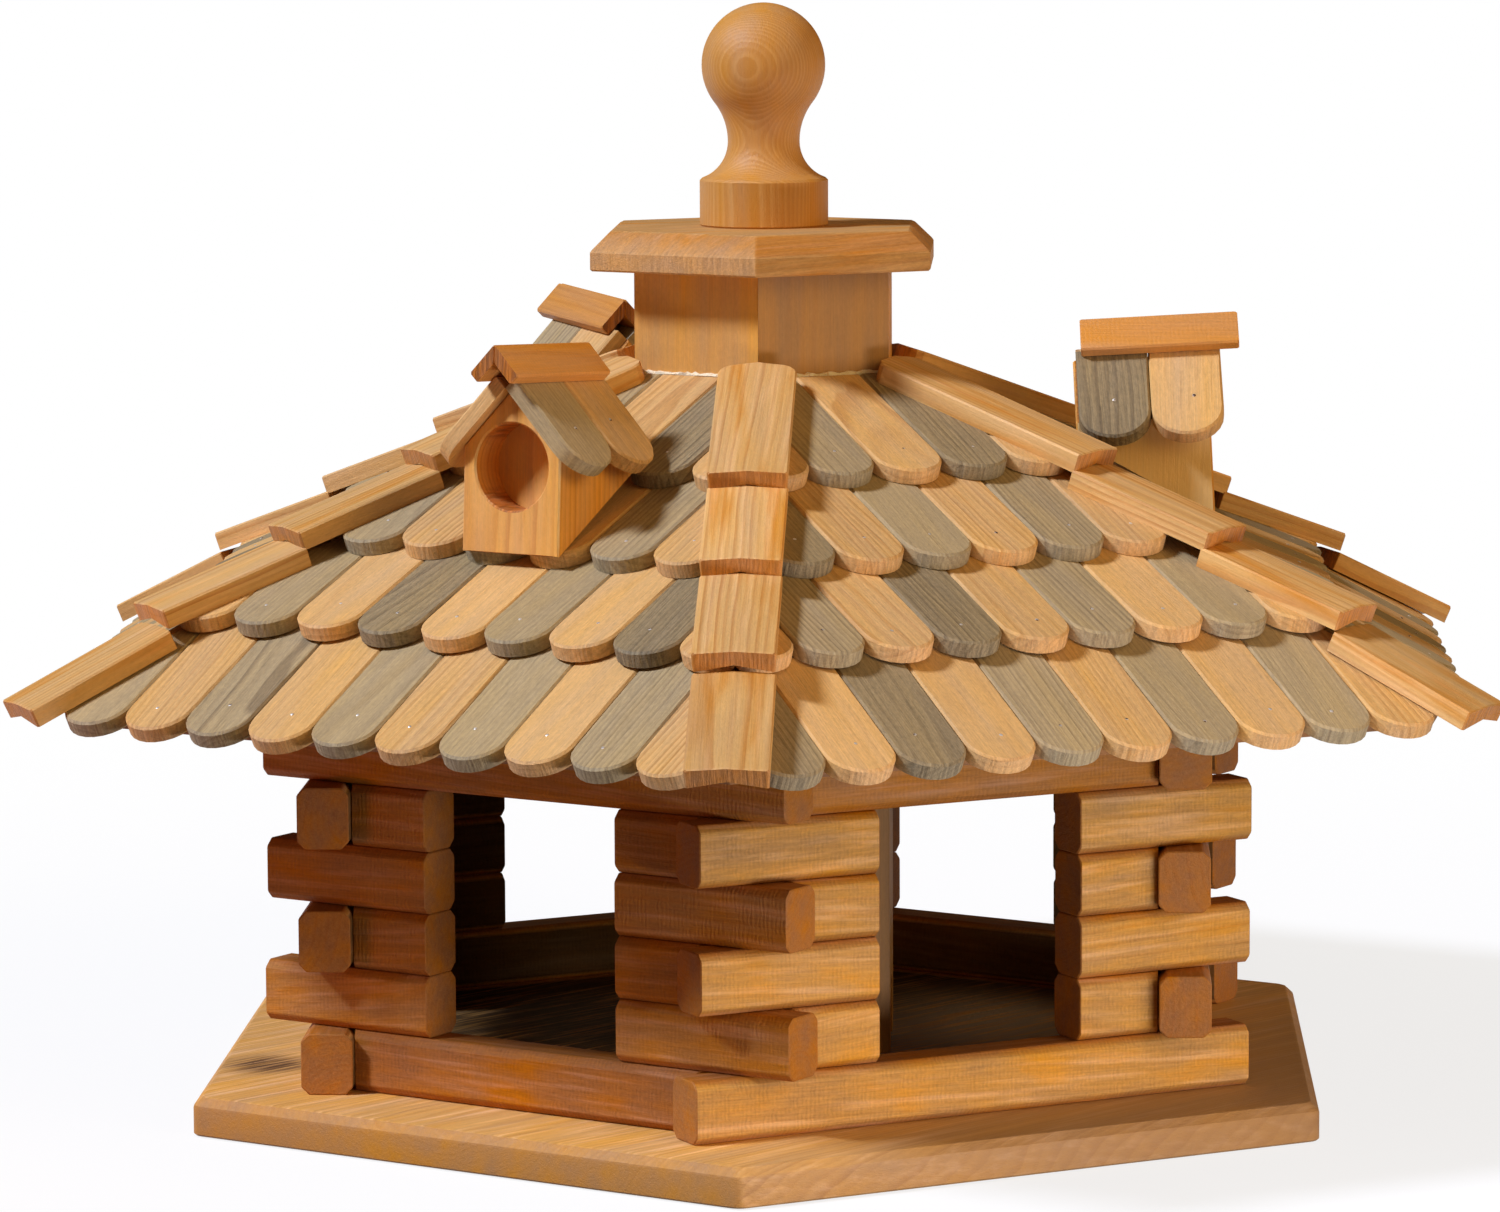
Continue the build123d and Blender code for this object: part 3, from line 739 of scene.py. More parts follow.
def wood(
    name, tone, end, spacing=2.0, figure=0.5, uneven=0.7, spread=0.16, fuzz=0.16, blotches=0.14,
    blotch_run=0.012, streaks=0.0, bright=0.0, ticks=0.0, ridges=0.3, end_figure=0.4, dark=0.0, gloss=0.62,
    shine=0.35, wander=3.0, deep=None, grain=None, along=None, over=None,
):
    """Solid wood of a named tone. Late wood takes the tone's ring colour by figure, and uneven pieces
    differ in how far. Pieces differ in level by spread, and some are dark. Fine noise gives sawn fuzz
    and fibres, broad noise gives blotches and amber streaks, and long noise gives bright gleams. The
    named end colour lies on end grain, with ridges across and rings by end_figure. Ticks are planer
    marks, and stained parts go to the colour deep, or below zero to the colour of old feed; on the
    logs the deep colour also carries painted shade, and below zero it is painted shade on the inner
    faces. Pieces without attributes give their own grain coordinates and direction, and a function
    over may change the colour last."""
    g = Graph(bpy.data.materials.new(name))
    ring = paint(tone + "_ring")
    lot = g.add("SeparateXYZ", {0: g.attribute("lot")})
    if grain is None:
        coordinates = g.attribute("grain")
        along = g.attribute("along")
    else:
        coordinates = g.add("Mapping", {"Vector": g.objects(), **grain}).outputs[0]
    late = growth_rings(g, coordinates, spacing, wander)
    fibre = g.noise(g.scaled(coordinates, *FIBRE), 3.0, 0.6)
    speck = g.noise(g.scaled(coordinates, *SPECK), 4.0, 0.7)
    blotch = g.noise(g.scaled(coordinates, blotch_run, 0.1, 0.1), 3.0)
    at_end = g.ramp(g.math("ABSOLUTE", g.dot(g.normals(), along)), 0.4, 0.8)
    ridge = g.ramp(g.noise(g.scaled(coordinates, *RIDGE)), 0.35, 0.65)
    grooves = g.times(g.math("SUBTRACT", ridge, 0.5), at_end)
    gleam = g.ramp(g.noise(g.scaled(coordinates, *GLEAM), 3.0), 0.45, 0.75)
    gleam = g.times(gleam, g.math("SUBTRACT", 1.0, at_end))
    strong = g.times(lot.outputs[1], lot.outputs[1])
    shown = g.times(strong, figure * uneven, figure * (1 - uneven))
    tint = g.mix(g.times(late, shown, clamp=True), paint(tone), ring)
    if streaks:
        tint = g.mix(g.times(g.ramp(blotch, 0.5, 0.68), streaks), tint, paint("amber"))
    if deep is not None:
        # On the logs the deep colour is stain on the chamfers and painted shade on the other outer faces
        tint = g.mix(g.times(lot.outputs[2], 0.8, clamp=True), tint, paint(deep))
        # Below zero, on the logs' inner faces, this is painted shade
        tint = g.mix(g.times(lot.outputs[2], -0.8, clamp=True), tint, paint("feed_and_shade"))
    tint = g.mix(at_end, tint, g.mix(g.times(late, end_figure), paint(end), ring))
    level = g.sway(1.0, lot.outputs[0], spread)
    level = g.times(g.ramp(lot.outputs[0], 0.3, 0.0), -dark, level)
    for pattern, amount in ((fibre, fuzz), (speck, fuzz), (blotch, blotches)):
        level = g.sway(level, pattern, amount * 2)
    level = g.times(grooves, ridges * 2, level)
    level = g.times(gleam, bright, level)
    height = g.times(late, 0.2, g.math("ADD", fibre, speck))
    height = g.times(grooves, ridges * 6, height)
    if ticks:
        marks = planer_marks(g, coordinates)
        level = g.times(marks, ticks, level)
        height = g.times(marks, ticks * 3, height)
    warm = g.times(gleam, -0.4 * bright, g.sway(1.0, blotch, 0.3))
    tint = g.add("HueSaturation", {"Color": tint, "Value": level, "Saturation": warm}).outputs[0]
    if over is not None:
        tint = over(g, tint)
    rough = g.times(speck, 0.2, gloss - 0.1)
    bump = g.add("Bump", {"Strength": 0.5, "Distance": 0.4 * MM, "Height": height}).outputs[0]
    return g.finish(Base_Color=tint, Roughness=rough, Normal=bump, Specular_IOR_Level=shine)


def natural_shingle_wood():
    return wood(
        "natural_lath_wood", "natural", "natural_end",
        spacing=2.6, figure=0.8, uneven=0.85, spread=0.14, fuzz=0.3, ridges=0.12, gloss=0.7,
    )


def grey_shingle_wood():
    return wood(
        "grey_lath_wood", "grey", "grey_end",
        spacing=2.2, figure=0.85, uneven=0.8, dark=0.25, fuzz=0.34, ridges=0.15, gloss=0.75,
    )


def cap_wood():
    return wood(
        "cap_wood", "cap", "cap_end",
        spacing=2.6, figure=0.8, uneven=0.4, spread=0.26, blotches=0.2, streaks=0.5, bright=0.15,
        ridges=0.15, wander=1.5, gloss=0.55,
    )


def log_wood():
    return wood(
        "log_wood", "log", "log_end", spacing=2.4, figure=0.35, uneven=0.6,
        ticks=0.09, ridges=0, blotches=0.4, blotch_run=0.035, fuzz=0.28, streaks=0.15, bright=0.3,
        gloss=0.55, shine=0.15, deep="log_deep_and_shade",
    )


def floor_wood():
    """The floor board's wood: darker to the right as painted shade, dark inside the walls with old feed
    and painted shade, grey there towards the right with dust and a painted sheen, and damp in one
    patch. How far a point lies from the middle is the greatest of its distances along the three
    directions across the walls."""

    def weathered_and_shaded(g, tint):
        objects = g.objects()
        away = 0.0
        for wall in range(SIDES // 2):
            away = g.math("MAXIMUM", g.math("ABSOLUTE", g.dot(objects, heading(facing(wall)))), away)
        rightward = g.dot(objects, heading(0))
        streaks = g.noise(g.scaled(g.attribute("grain"), *DIRT), 4.0)
        # Painted shade towards the right, where the house shades the board
        right_shade = g.times(g.ramp(rightward, *SHADE_RUN), 0.75)
        tint = g.mix(right_shade, tint, paint("board_shade"))
        inside = g.ramp(away, WALL_IN, WALL_IN - 4 * MM)
        # Inside the walls: old feed with painted shade, towards the right grey dust with a painted sheen
        dirt_and_shade_share = g.times(g.times(inside, g.ramp(streaks, 0.75, 0.45)), 0.9)
        dirt_shade_and_sheen = g.mix(g.ramp(rightward, *DUST_AND_SHEEN_RUN), paint("feed_and_shade"), paint("dust_and_sheen"))
        tint = g.mix(dirt_and_shade_share, tint, dirt_shade_and_sheen)
        spot = g.add("VectorMath", {0: objects, 1: SPOT}, operation="DISTANCE").outputs["Value"]
        wet = g.times(g.ramp(spot, *SPOT_FADE), g.ramp(streaks, 0.75, 0.35))
        return g.mix(wet, tint, paint("rust"))

    return wood(
        "floor_wood", "board", "board_end", spacing=2.6, figure=0.5,
        uneven=0, blotches=0.3, ridges=0, end_figure=0.15, bright=0.3, gloss=0.55, over=weathered_and_shaded,
    )


def upright_wood(name, tone, figure=0.15):
    """Wood for solids kept from the frame: grain upright, with the pith outside the house."""
    grain = {
        "Location": KEPT_PITH,
        "Rotation": (0, math.pi / 2, 0),
        "Scale": (1 / MM, 1 / MM, 1 / MM),
    }
    return wood(
        name, tone, tone + "_ring", spacing=3.4, figure=figure, uneven=0, spread=0, blotches=0.3,
        grain=grain, along=(0, 0, 1),
    )


def dormer_wood():
    """The dormer blocks' wood, with painted light that makes a side facing straight towards its direction
    paler.
    """

    def toned_by_light(g, tint):
        # Painted light: a side facing that direction goes towards the pale colour
        lit_side = g.ramp(g.dot(g.normals(), heading(PAINTED_LIGHT_ANGLE)), 0.9, 0.99)
        return g.mix(g.times(lit_side, 0.7), tint, paint("dormer_painted_light"))

    return wood(
        "dormer_wood", "dormer", "dormer_ring",
        spacing=2.6, figure=0.6, uneven=0.3, gloss=0.55, over=toned_by_light,
    )


def ridge_wood():
    return wood(
        "ridge_wood", "ridge", "ridge_ring",
        spacing=2.0, figure=0.35, uneven=0.5, ticks=0.04, gloss=0.5,
    )


def lid_wood():
    return wood(
        "lid_wood", "lid", "lid_end",
        spacing=2.0, figure=0.4, uneven=0, blotches=0.25, fuzz=0.26, streaks=0.6, bright=0.15, ridges=0.1,
        end_figure=0.05, gloss=0.6, shine=0.2, deep="amber",
    )


def knob_wood():
    return wood(
        "knob_wood", "knob", "knob",
        spacing=1.0, figure=0.32, uneven=0, ridges=0, fuzz=0.08, gloss=0.5,
    )


def nail_steel():
    """Bright steel with a little tarnish from noise."""
    g = Graph(bpy.data.materials.new("nail_steel"))
    spots = g.noise(g.scaled(g.objects(), 500, 500, 500), 3.0)
    tint = g.mix(g.ramp(spots, 0.5, 0.62), paint("nail"), paint("rust"))
    rough = g.times(spots, 0.4, 0.2)
    return g.finish(Base_Color=tint, Roughness=rough, Metallic=0.6)


def bead_filler():
    """Dry crumbly filler: pale with darker crumbs from noise."""
    g = Graph(bpy.data.materials.new("bead_filler"))
    crumbs = g.noise(g.scaled(g.objects(), 700, 700, 700), 4.0, 0.7)
    tint = g.mix(g.ramp(crumbs, 0.5, 0.75), paint("bead"), paint("silo"))
    bump = g.add("Bump", {"Strength": 0.8, "Distance": 0.8 * MM, "Height": crumbs}).outputs[0]
    return g.finish(Base_Color=tint, Roughness=0.85, Normal=bump)


# Operators


class FEEDER_OT_floor(bpy.types.Operator):
    """The floor board with eased edges and grain that runs askew under the house"""

    bl_idname = "feeder.floor"
    bl_label = "Floor board"

    grain_angle: bpy.props.FloatProperty(
        name="Grain angle", description="Direction of the grain from +X", subtype="ANGLE",
        default=math.radians(76),
    )

    def execute(self, context):
        edge = sizes().edge
        insets = (edge, 0, 0, edge / 2, FLOOR_CHAMFER - edge, FLOOR_CHAMFER + edge / 2)
        top = FLOOR_THICK - FLOOR_CHAMFER
        heights = (0, edge, top - edge / 2, top + edge, FLOOR_THICK - edge / 2, FLOOR_THICK)
        piece = hexagon_board(
            "floor_board", FLOOR_RADIUS * math.cos(HALF), FLOOR_ROUND, 5, insets, heights,
            math.degrees(self.grain_angle), np.random.default_rng(seed=11), near=70, far=80, tilt=0.06,
        )
        place(piece, floor_wood(), "house", "floor_wood", "floor_plate")
        return {"FINISHED"}


class FEEDER_OT_logs(bpy.types.Operator):
    """The wall logs: chamfered laths that pass the corner or butt against the passing ones"""

    bl_idname = "feeder.logs"
    bl_label = "Wall logs"

    def log_profile(self):
        """The chamfered section as (outward, up) points with small eases, and where each one lies:
        1 is on a chamfer, -1 on the inner face and 0 on the outer one."""
        wide = LOG_THICK / 2
        high = LOG_HEIGHT / 2 - SEAT
        cut = sizes().log_chamfer
        quarter = np.array(((wide, high - cut), (wide - cut, high)))
        mirrored = quarter[::-1] * (-1, 1)
        corners = np.concatenate((quarter, mirrored, -quarter, -mirrored))
        profile = eased(corners, sizes().log_edge)
        lies = np.array((0, 1, 1, -1, -1, 1, 1, 0)).repeat(2)
        return profile, np.where(np.isclose(profile[:, 0], wide), 0, lies)

    def log_stain_and_painted_shade(self, wall, course, lies):
        """The stain and painted shade of logs: full stain on chamfers, and painted shade on outer faces,
        deeper away from the lit wall. Inner faces go below zero, to painted shade in the colour of old
        feed."""
        away = 1 - np.cos(np.radians(facing(wall) - LIT_WALL_ANGLE))
        # Painted shade on the inner faces, deeper away from the lit wall
        inner_shade = np.minimum(away * INNER_SHADE_RISE, 1)[:, None, None]
        shade = np.minimum(away * SHADE_RISE, SHADE_LIMIT)
        # Painted shade: deeper on the sills, and full on the lintels and ties under the eaves
        shade = np.where(course == 0, shade / SHADE_LIMIT, shade)
        shade = np.where(course < LINTEL_COURSE, shade, SHADE_LIMIT)[:, None, None]
        return np.where(lies < 0, -inner_shade, np.maximum(lies, shade))

    def logs(self, name, wall, course, part, random):
        """Logs from numbers or arrays of wall, course and part: 0 is full, -1 and 1 are beside a window.
        Ends are y = reach + lean x, square where a log passes the corner and slanted where it
        butts against the inner face of one that passes."""
        wall, course, part = np.broadcast_arrays(*np.atleast_1d(wall, course, part))
        profile, lies = self.log_profile()
        stain = self.log_stain_and_painted_shade(wall, course, lies)
        count = len(wall)
        passes = (wall + course) % 2 == 1
        butt = (WALL_IN - SEAT) / math.sin(TURN_RADIANS)
        middle_x = WALL_OUT - LOG_THICK / 2 + random.uniform(-LOG_SHIFT, LOG_SHIFT, (count, 1, 1))
        edge = sizes().log_edge
        shrink = 1 - edge / LOG_THICK * 2
        widths = np.array((shrink, 1, 1, shrink))[None, :, None]
        x = middle_x + profile[:, 0] * widths
        z = np.broadcast_to(profile[:, 1] * widths, x.shape)
        ends = []
        for side in (-1, 1):
            pass_reach = CORNER_REACH + LOG_PAST_CORNER + random.uniform(-1, 1, count) * sizes().log_stray
            reach = np.where(passes, pass_reach, butt)
            lean = np.where(passes, 0, -1 / math.tan(TURN_RADIANS))
            at_window = part == -side
            reach = np.where(at_window, -WINDOW_WIDTH / 2, reach)
            lean = np.where(at_window, 0, lean)
            ends.append(side * (reach[:, None, None] + lean[:, None, None] * x))
        low, high = ends
        first = np.array((1, 1, 0, 0))[None, :, None]
        draw_in = np.array((0, edge, -edge, 0))[None, :, None]
        y = np.where(first, low, high) + draw_in
        rise = FLOOR_THICK + (course + 0.5) * LOG_HEIGHT
        rings = np.stack((x, y, z + rise[:, None, None]), axis=-1)
        local = np.stack((y, x - middle_x, z), axis=-1)
        along = turned(np.tile((0.0, 1.0, 0.0), (count, 1)), facing(wall))
        rings = turned(rings, facing(wall))
        return wooden(name, rings, local, along, random, stain=stain, near=8, far=45, quartered=0.5)

    def execute(self, context):
        random = np.random.default_rng(seed=23)
        material = log_wood()
        jamb_courses = np.repeat(np.arange(1, LINTEL_COURSE), 2)
        jamb_parts = np.tile((-1, 1), WINDOW_COURSES)
        kinds = (
            ("sill", "sill_log", 0, 0),
            ("window_jambs", "window_logs", jamb_courses, jamb_parts),
            ("lintel", "lintel_log", LINTEL_COURSE, 0),
        )
        for wall in range(SIDES):
            for name, node, course, part in kinds:
                piece = self.logs(f"{name}_{wall + 1}", wall, course, part, random)
                place(piece, material, "house", "log_wood", f"{node}_{wall + 1}")
        ties = self.logs("ties", np.arange(SIDES), TIE_COURSE, 0, random)
        place(ties, material, "house", "log_wood", "tie_logs")
        return {"FINISHED"}


class FEEDER_OT_kept(bpy.types.Operator):
    """Wood on the solids that keep their shape: silo boards, roof panels, plate logs and plug"""

    bl_idname = "feeder.kept"
    bl_label = "Kept solids"

    def execute(self, context):
        toned_by_light = round((LIT_WALL_ANGLE - facing(0)) / TURN)
        # The board facing the lit wall, with darker and duller wood that is partly painted shade, comes
        # after all boards, so that its wood replaces theirs
        chosen = {
            "silo_board": upright_wood("silo_wood", "silo"),
            f"silo_board_{toned_by_light + 1}": upright_wood("bleached_silo_wood", "dull_and_shaded"),
            "roof_panel": upright_wood("panel_plywood", "panel", figure=0.7),
            "plate_logs": upright_wood("plate_wood", "log"),
            "lid_plug": upright_wood("plug_wood", "lid"),
        }
        for name, node in frame["nodes"].items():
            for start, material in chosen.items():
                if name.startswith(start):
                    node.data.materials.clear()
                    node.data.materials.append(material)
        return {"FINISHED"}


class FEEDER_OT_shingles(bpy.types.Operator):
    """The rows of lapped round-ended shingles, stained grey and natural in turn"""

    bl_idname = "feeder.shingles"
    bl_label = "Roof shingles"

    def row(self, kind, row, middles, material, random):
        """One row's shingles of one kind round all faces, each a little longer or shorter."""
        offsets, faces = on_every_face(middles)
        count = len(offsets)
        origin, down, normal = row_frame(row)
        lengths = row_length(row) + random.uniform(-1, 0.6, count) * sizes().shingle_stray
        outline = lath_outline(lengths, offsets, origin[0], down[0])
        flat = lath_rings(outline)
        lift = random.uniform(0, SHINGLE_RISE, (count, 1, 1)) * flat[..., 0] + SEAT
        swing = random.normal(0, SHINGLE_SWING, (count, 1, 1)) * flat[..., 0]
        local = np.stack((flat[..., 0], flat[..., 1] - offsets[:, None, None], flat[..., 2]), axis=-1)
        across = np.array((0.0, 1.0, 0.0))
        rings = origin + flat[..., :1] * down + (flat[..., 1] + swing)[..., None] * across
        rings = turned(rings + (flat[..., 2] + lift)[..., None] * normal, facing(faces))
        along = turned(np.tile(down, (count, 1)), facing(faces))
        number = row + 1
        name = f"{kind}_laths_{number}"
        piece = wooden(name, rings, local, along, random, near=15, far=70, quartered=0.7)
        place(piece, material, "house", LATH_SLOTS[kind], f"{kind}_shingles_row_{number}")

    def execute(self, context):
        random = np.random.default_rng(seed=37)
        grey_wood = grey_shingle_wood()
        natural_wood = natural_shingle_wood()
        for row in range(SHINGLE_ROWS):
            middles, grey = row_steps(row)
            self.row("grey", row, middles[grey], grey_wood, random)
            self.row("natural", row, middles[~grey], natural_wood, random)
        return {"FINISHED"}


def cap_place(row):
    """A hip cap of a row over the +X hip: its upper end, its direction, its upright and its length,
    worked out from the shingles that it covers."""
    angle = PITCH - row_tilt(row)
    hip_slope = math.atan(math.tan(angle) * math.cos(HALF))
    head_run = row_head(row) * math.cos(PITCH)
    lift = (SHINGLE_THICK + 2 * SEAT) / math.cos(angle)
    ridge_apex = ROOF_APEX + head_run * (math.tan(angle) - math.tan(PITCH)) + lift
    lower_past = CAP_PAST_TIPS if row else EAVE_CAP_PAST
    lower = (row_tip(row) + lower_past * math.cos(PITCH)) / math.cos(HALF)
    upper = (row_tip(row + 1) + CAP_TIP_GAP) / math.cos(HALF)
    if row == SHINGLE_ROWS - 1:
        upper = SILO_CORNER + TOP_CAP_GAP
    start = np.array((upper, 0, ridge_apex - upper * math.tan(hip_slope)))
    along = np.array((math.cos(hip_slope), 0, -math.sin(hip_slope)))
    upright = np.array((math.sin(hip_slope), 0, math.cos(hip_slope)))
    return start, along, upright, (lower - upper) / math.cos(hip_slope)


class FEEDER_OT_caps(bpy.types.Operator):
    """The hip caps, planed to a shallow roof shape, with the top ones rounded at the silo"""

    bl_idname = "feeder.caps"
    bl_label = "Hip caps"

    def section(self):
        """The cap's section as (across, up) points with eased upper edges."""
        thick = np.array((math.sin(CAP_TILT), math.cos(CAP_TILT)))
        flange = np.array((math.cos(CAP_TILT), -math.sin(CAP_TILT))) * CAP_FLANGE
        rim = flange + thick * CAP_THICK
        top = np.array((0, CAP_THICK / math.cos(CAP_TILT)))
        flange = flange - thick * sizes().cap_drop
        ease = sizes().edge
        inward = (top - rim) / np.linalg.norm(top - rim)
        downward = (flange - rim) / np.linalg.norm(flange - rim)
        right = np.array((flange, rim + downward * ease, rim + inward * ease, top - inward * ease / 2))
        left = right[::-1] * (-1, 1)
        return np.concatenate((np.zeros((1, 2)), right, left))

    def cap(self, row, random):
        """Rings of one cap from its upper to its lower end, and the same in its own measures.
        The upper corners follow a quarter circle drawn in from both edges."""
        start, along, upright, span = cap_place(row)
        section = self.section()
        edge = sizes().edge
        radius = sizes().cap_corner if row == SHINGLE_ROWS - 1 else edge
        share = np.array((0, 0.06, 0.3, 0.65, 1.0))
        drawn = radius * (1 - np.sqrt(1 - (1 - share) ** 2))
        depth = np.concatenate((radius * share, (span - edge, span)))
        depth = depth + np.array((0, 0, 0, 0, 0, 1, 1)) * random.uniform(*CAP_STRAY)
        narrow = 1 - np.concatenate((drawn, (0, edge))) / CAP_FLANGE
        across = section[:, 0] * narrow[:, None]
        up = section[:, 1] * (1 - np.array((0, 0, 0, 0, 0, 0, 0.06)))[:, None]
        down = np.broadcast_to(depth[:, None], across.shape)
        sideways = np.array((0, 1, 0))
        rings = start + down[..., None] * along + across[..., None] * sideways + up[..., None] * upright
        return rings, np.stack((down, across, up), axis=-1), along

    def execute(self, context):
        random = np.random.default_rng(seed=41)
        material = cap_wood()
        for hip in range(SIDES):
            made = [self.cap(row, random) for row in range(SHINGLE_ROWS)]
            rings, local, along = (np.array(part) for part in zip(*made))
            angle = facing(hip) + TURN / 2
            piece = wooden(
                f"caps_{hip + 1}", turned(rings, angle), local, turned(along, angle), random,
                near=25, far=60, quartered=0.7, tilt=0.015,
            )
            place(piece, material, "house", "cap_wood", f"hip_caps_{hip + 1}")
        return {"FINISHED"}


class FEEDER_OT_dormers(bpy.types.Operator):
    """The dormers: gabled blocks with a blind round hole, their shingles and ridge boards"""

    bl_idname = "feeder.dormers"
    bl_label = "Dormers"

    def block(self):
        """Rings from the hole's bottom, out over the front and back along the gable's outline.
        Points below the bed are raised to it, so that the underside follows the roof."""
        slope, foot, eaves, apex = dormer_sizes()
        half = DORMER_WIDTH / 2
        edge = sizes().edge
        corners = np.array(((half, foot), (half, eaves), (0, apex), (-half, eaves), (-half, foot)))
        outline = divided(corners, 12)
        centre = np.array((0, foot + HOLE_RISE))
        ray = outline - centre
        ray = ray / np.linalg.norm(ray, axis=1, keepdims=True)
        hole = HOLE_DIAMETER / 2
        drawn = inset(outline, edge)
        plans = (
            (centre + ray * hole, -HOLE_DEPTH), (centre + ray * hole, -edge),
            (centre + ray * (hole + edge), 0), (drawn, 0), (outline, -edge),
            (outline, edge - DORMER_DEPTH), (drawn, -DORMER_DEPTH),
        )
        rings = [np.column_stack((np.full(len(plan), DORMER_FRONT + depth), plan)) for plan, depth in plans]
        rings = leaning(np.array(rings)[None])
        bed = foot + (DORMER_FRONT - rings[..., 0]) * slope
        rings[..., 2] = np.maximum(rings[..., 2], bed)
        local = np.stack((rings[..., 2] - foot, rings[..., 1], rings[..., 0] - DORMER_FRONT), axis=-1)
        return rings, local

    def shingles(self, stained, random):
        """The gable shingles of one colour on all dormers: rings, local measures and directions."""
        made = []
        for face in range(0, SIDES, 2):
            for side in (-1, 1):
                rank = 0 if (side > 0) == stained else 1
                start, down, normal = gable_place(side, rank)
                reach = np.array((DORMER_SHINGLE_LENGTH + random.uniform(*GABLE_STRAY),))
                flat = lath_rings(lath_outline(reach, np.zeros(1)))[0]
                rings = start + (flat[..., :1] + SEAT) * down
                rings = rings + flat[..., 1:2] * np.array((1, 0, 0)) + (flat[..., 2:] + SEAT) * normal
                made.append((turned(leaning(rings), facing(face)), flat, turned(down, facing(face))))
        return [np.array(part) for part in zip(*made)]

    def ridge(self, random):
        """The two mitred ridge boards: rings from front to back and local measures."""
        bed_apex = dormer_sizes()[3] + (SHINGLE_THICK + 2 * SEAT) / math.cos(GABLE)
        top_apex = bed_apex + RIDGE_THICK / math.cos(GABLE)
        bed_face = RIDGE_FACE - RIDGE_THICK * math.tan(GABLE)
        slant = np.array((math.cos(GABLE), -math.sin(GABLE)))
        corners = np.array(((0, bed_apex), (0, top_apex), (0, top_apex), (0, bed_apex)))
        corners = corners + np.array((0, 0, RIDGE_FACE, bed_face))[:, None] * slant + (SEAT, 0)
        edge = sizes().edge
        plan = eased(corners, edge)
        middle = plan.mean(axis=0)
        widths = np.array((0.94, 1, 1, 0.94))[:, None, None]
        section = middle + (plan - middle) * widths
        start = DORMER_FRONT + RIDGE_PAST_FRONT
        made = []
        for side in (-1, 1):
            ends = random.uniform(*RIDGE_STRAY, 2)
            depth = np.array((ends[0], ends[0] - edge, edge - RIDGE_LENGTH, -RIDGE_LENGTH))[:, None]
            depth = np.broadcast_to(depth, section.shape[:2])
            rings = np.stack((start + depth, side * section[..., 0], section[..., 1]), axis=-1)
            local = np.stack((depth, section[..., 0] - middle[0], section[..., 1] - middle[1]), axis=-1)
            made.append((leaning(rings), local))
        return [np.array(part) for part in zip(*made)]

    def execute(self, context):
        random = np.random.default_rng(seed=53)
        block_material = dormer_wood()
        ridge_material = ridge_wood()
        upright = np.array((0.0, 0.0, 1.0))
        level = np.array((1.0, 0.0, 0.0))
        for number, face in enumerate(range(0, SIDES, 2)):
            rings, local = self.block()
            block = wooden(
                f"dormer_{number + 1}", turned(rings, facing(face)), local, upright, random,
                near=40, far=60, quartered=0,
            )
            place(block, block_material, "house", "dormer_wood", f"dormer_block_{number + 1}")
            rings, local = self.ridge(random)
            boards = wooden(
                f"ridge_{number + 1}", turned(rings, facing(face)), local,
                turned(level, facing(face)), random,
            )
            place(boards, ridge_material, "house", "dormer_wood", f"dormer_ridge_{number + 1}")
        for kind, slot in LATH_SLOTS.items():
            rings, local, along = self.shingles(kind == "grey", random)
            laths = wooden(f"dormer_{kind}_laths", rings, local, along, random, quartered=0.7)
            material = bpy.data.materials[f"{kind}_lath_wood"]
            place(laths, material, "house", slot, f"dormer_{kind}_shingles")
        return {"FINISHED"}


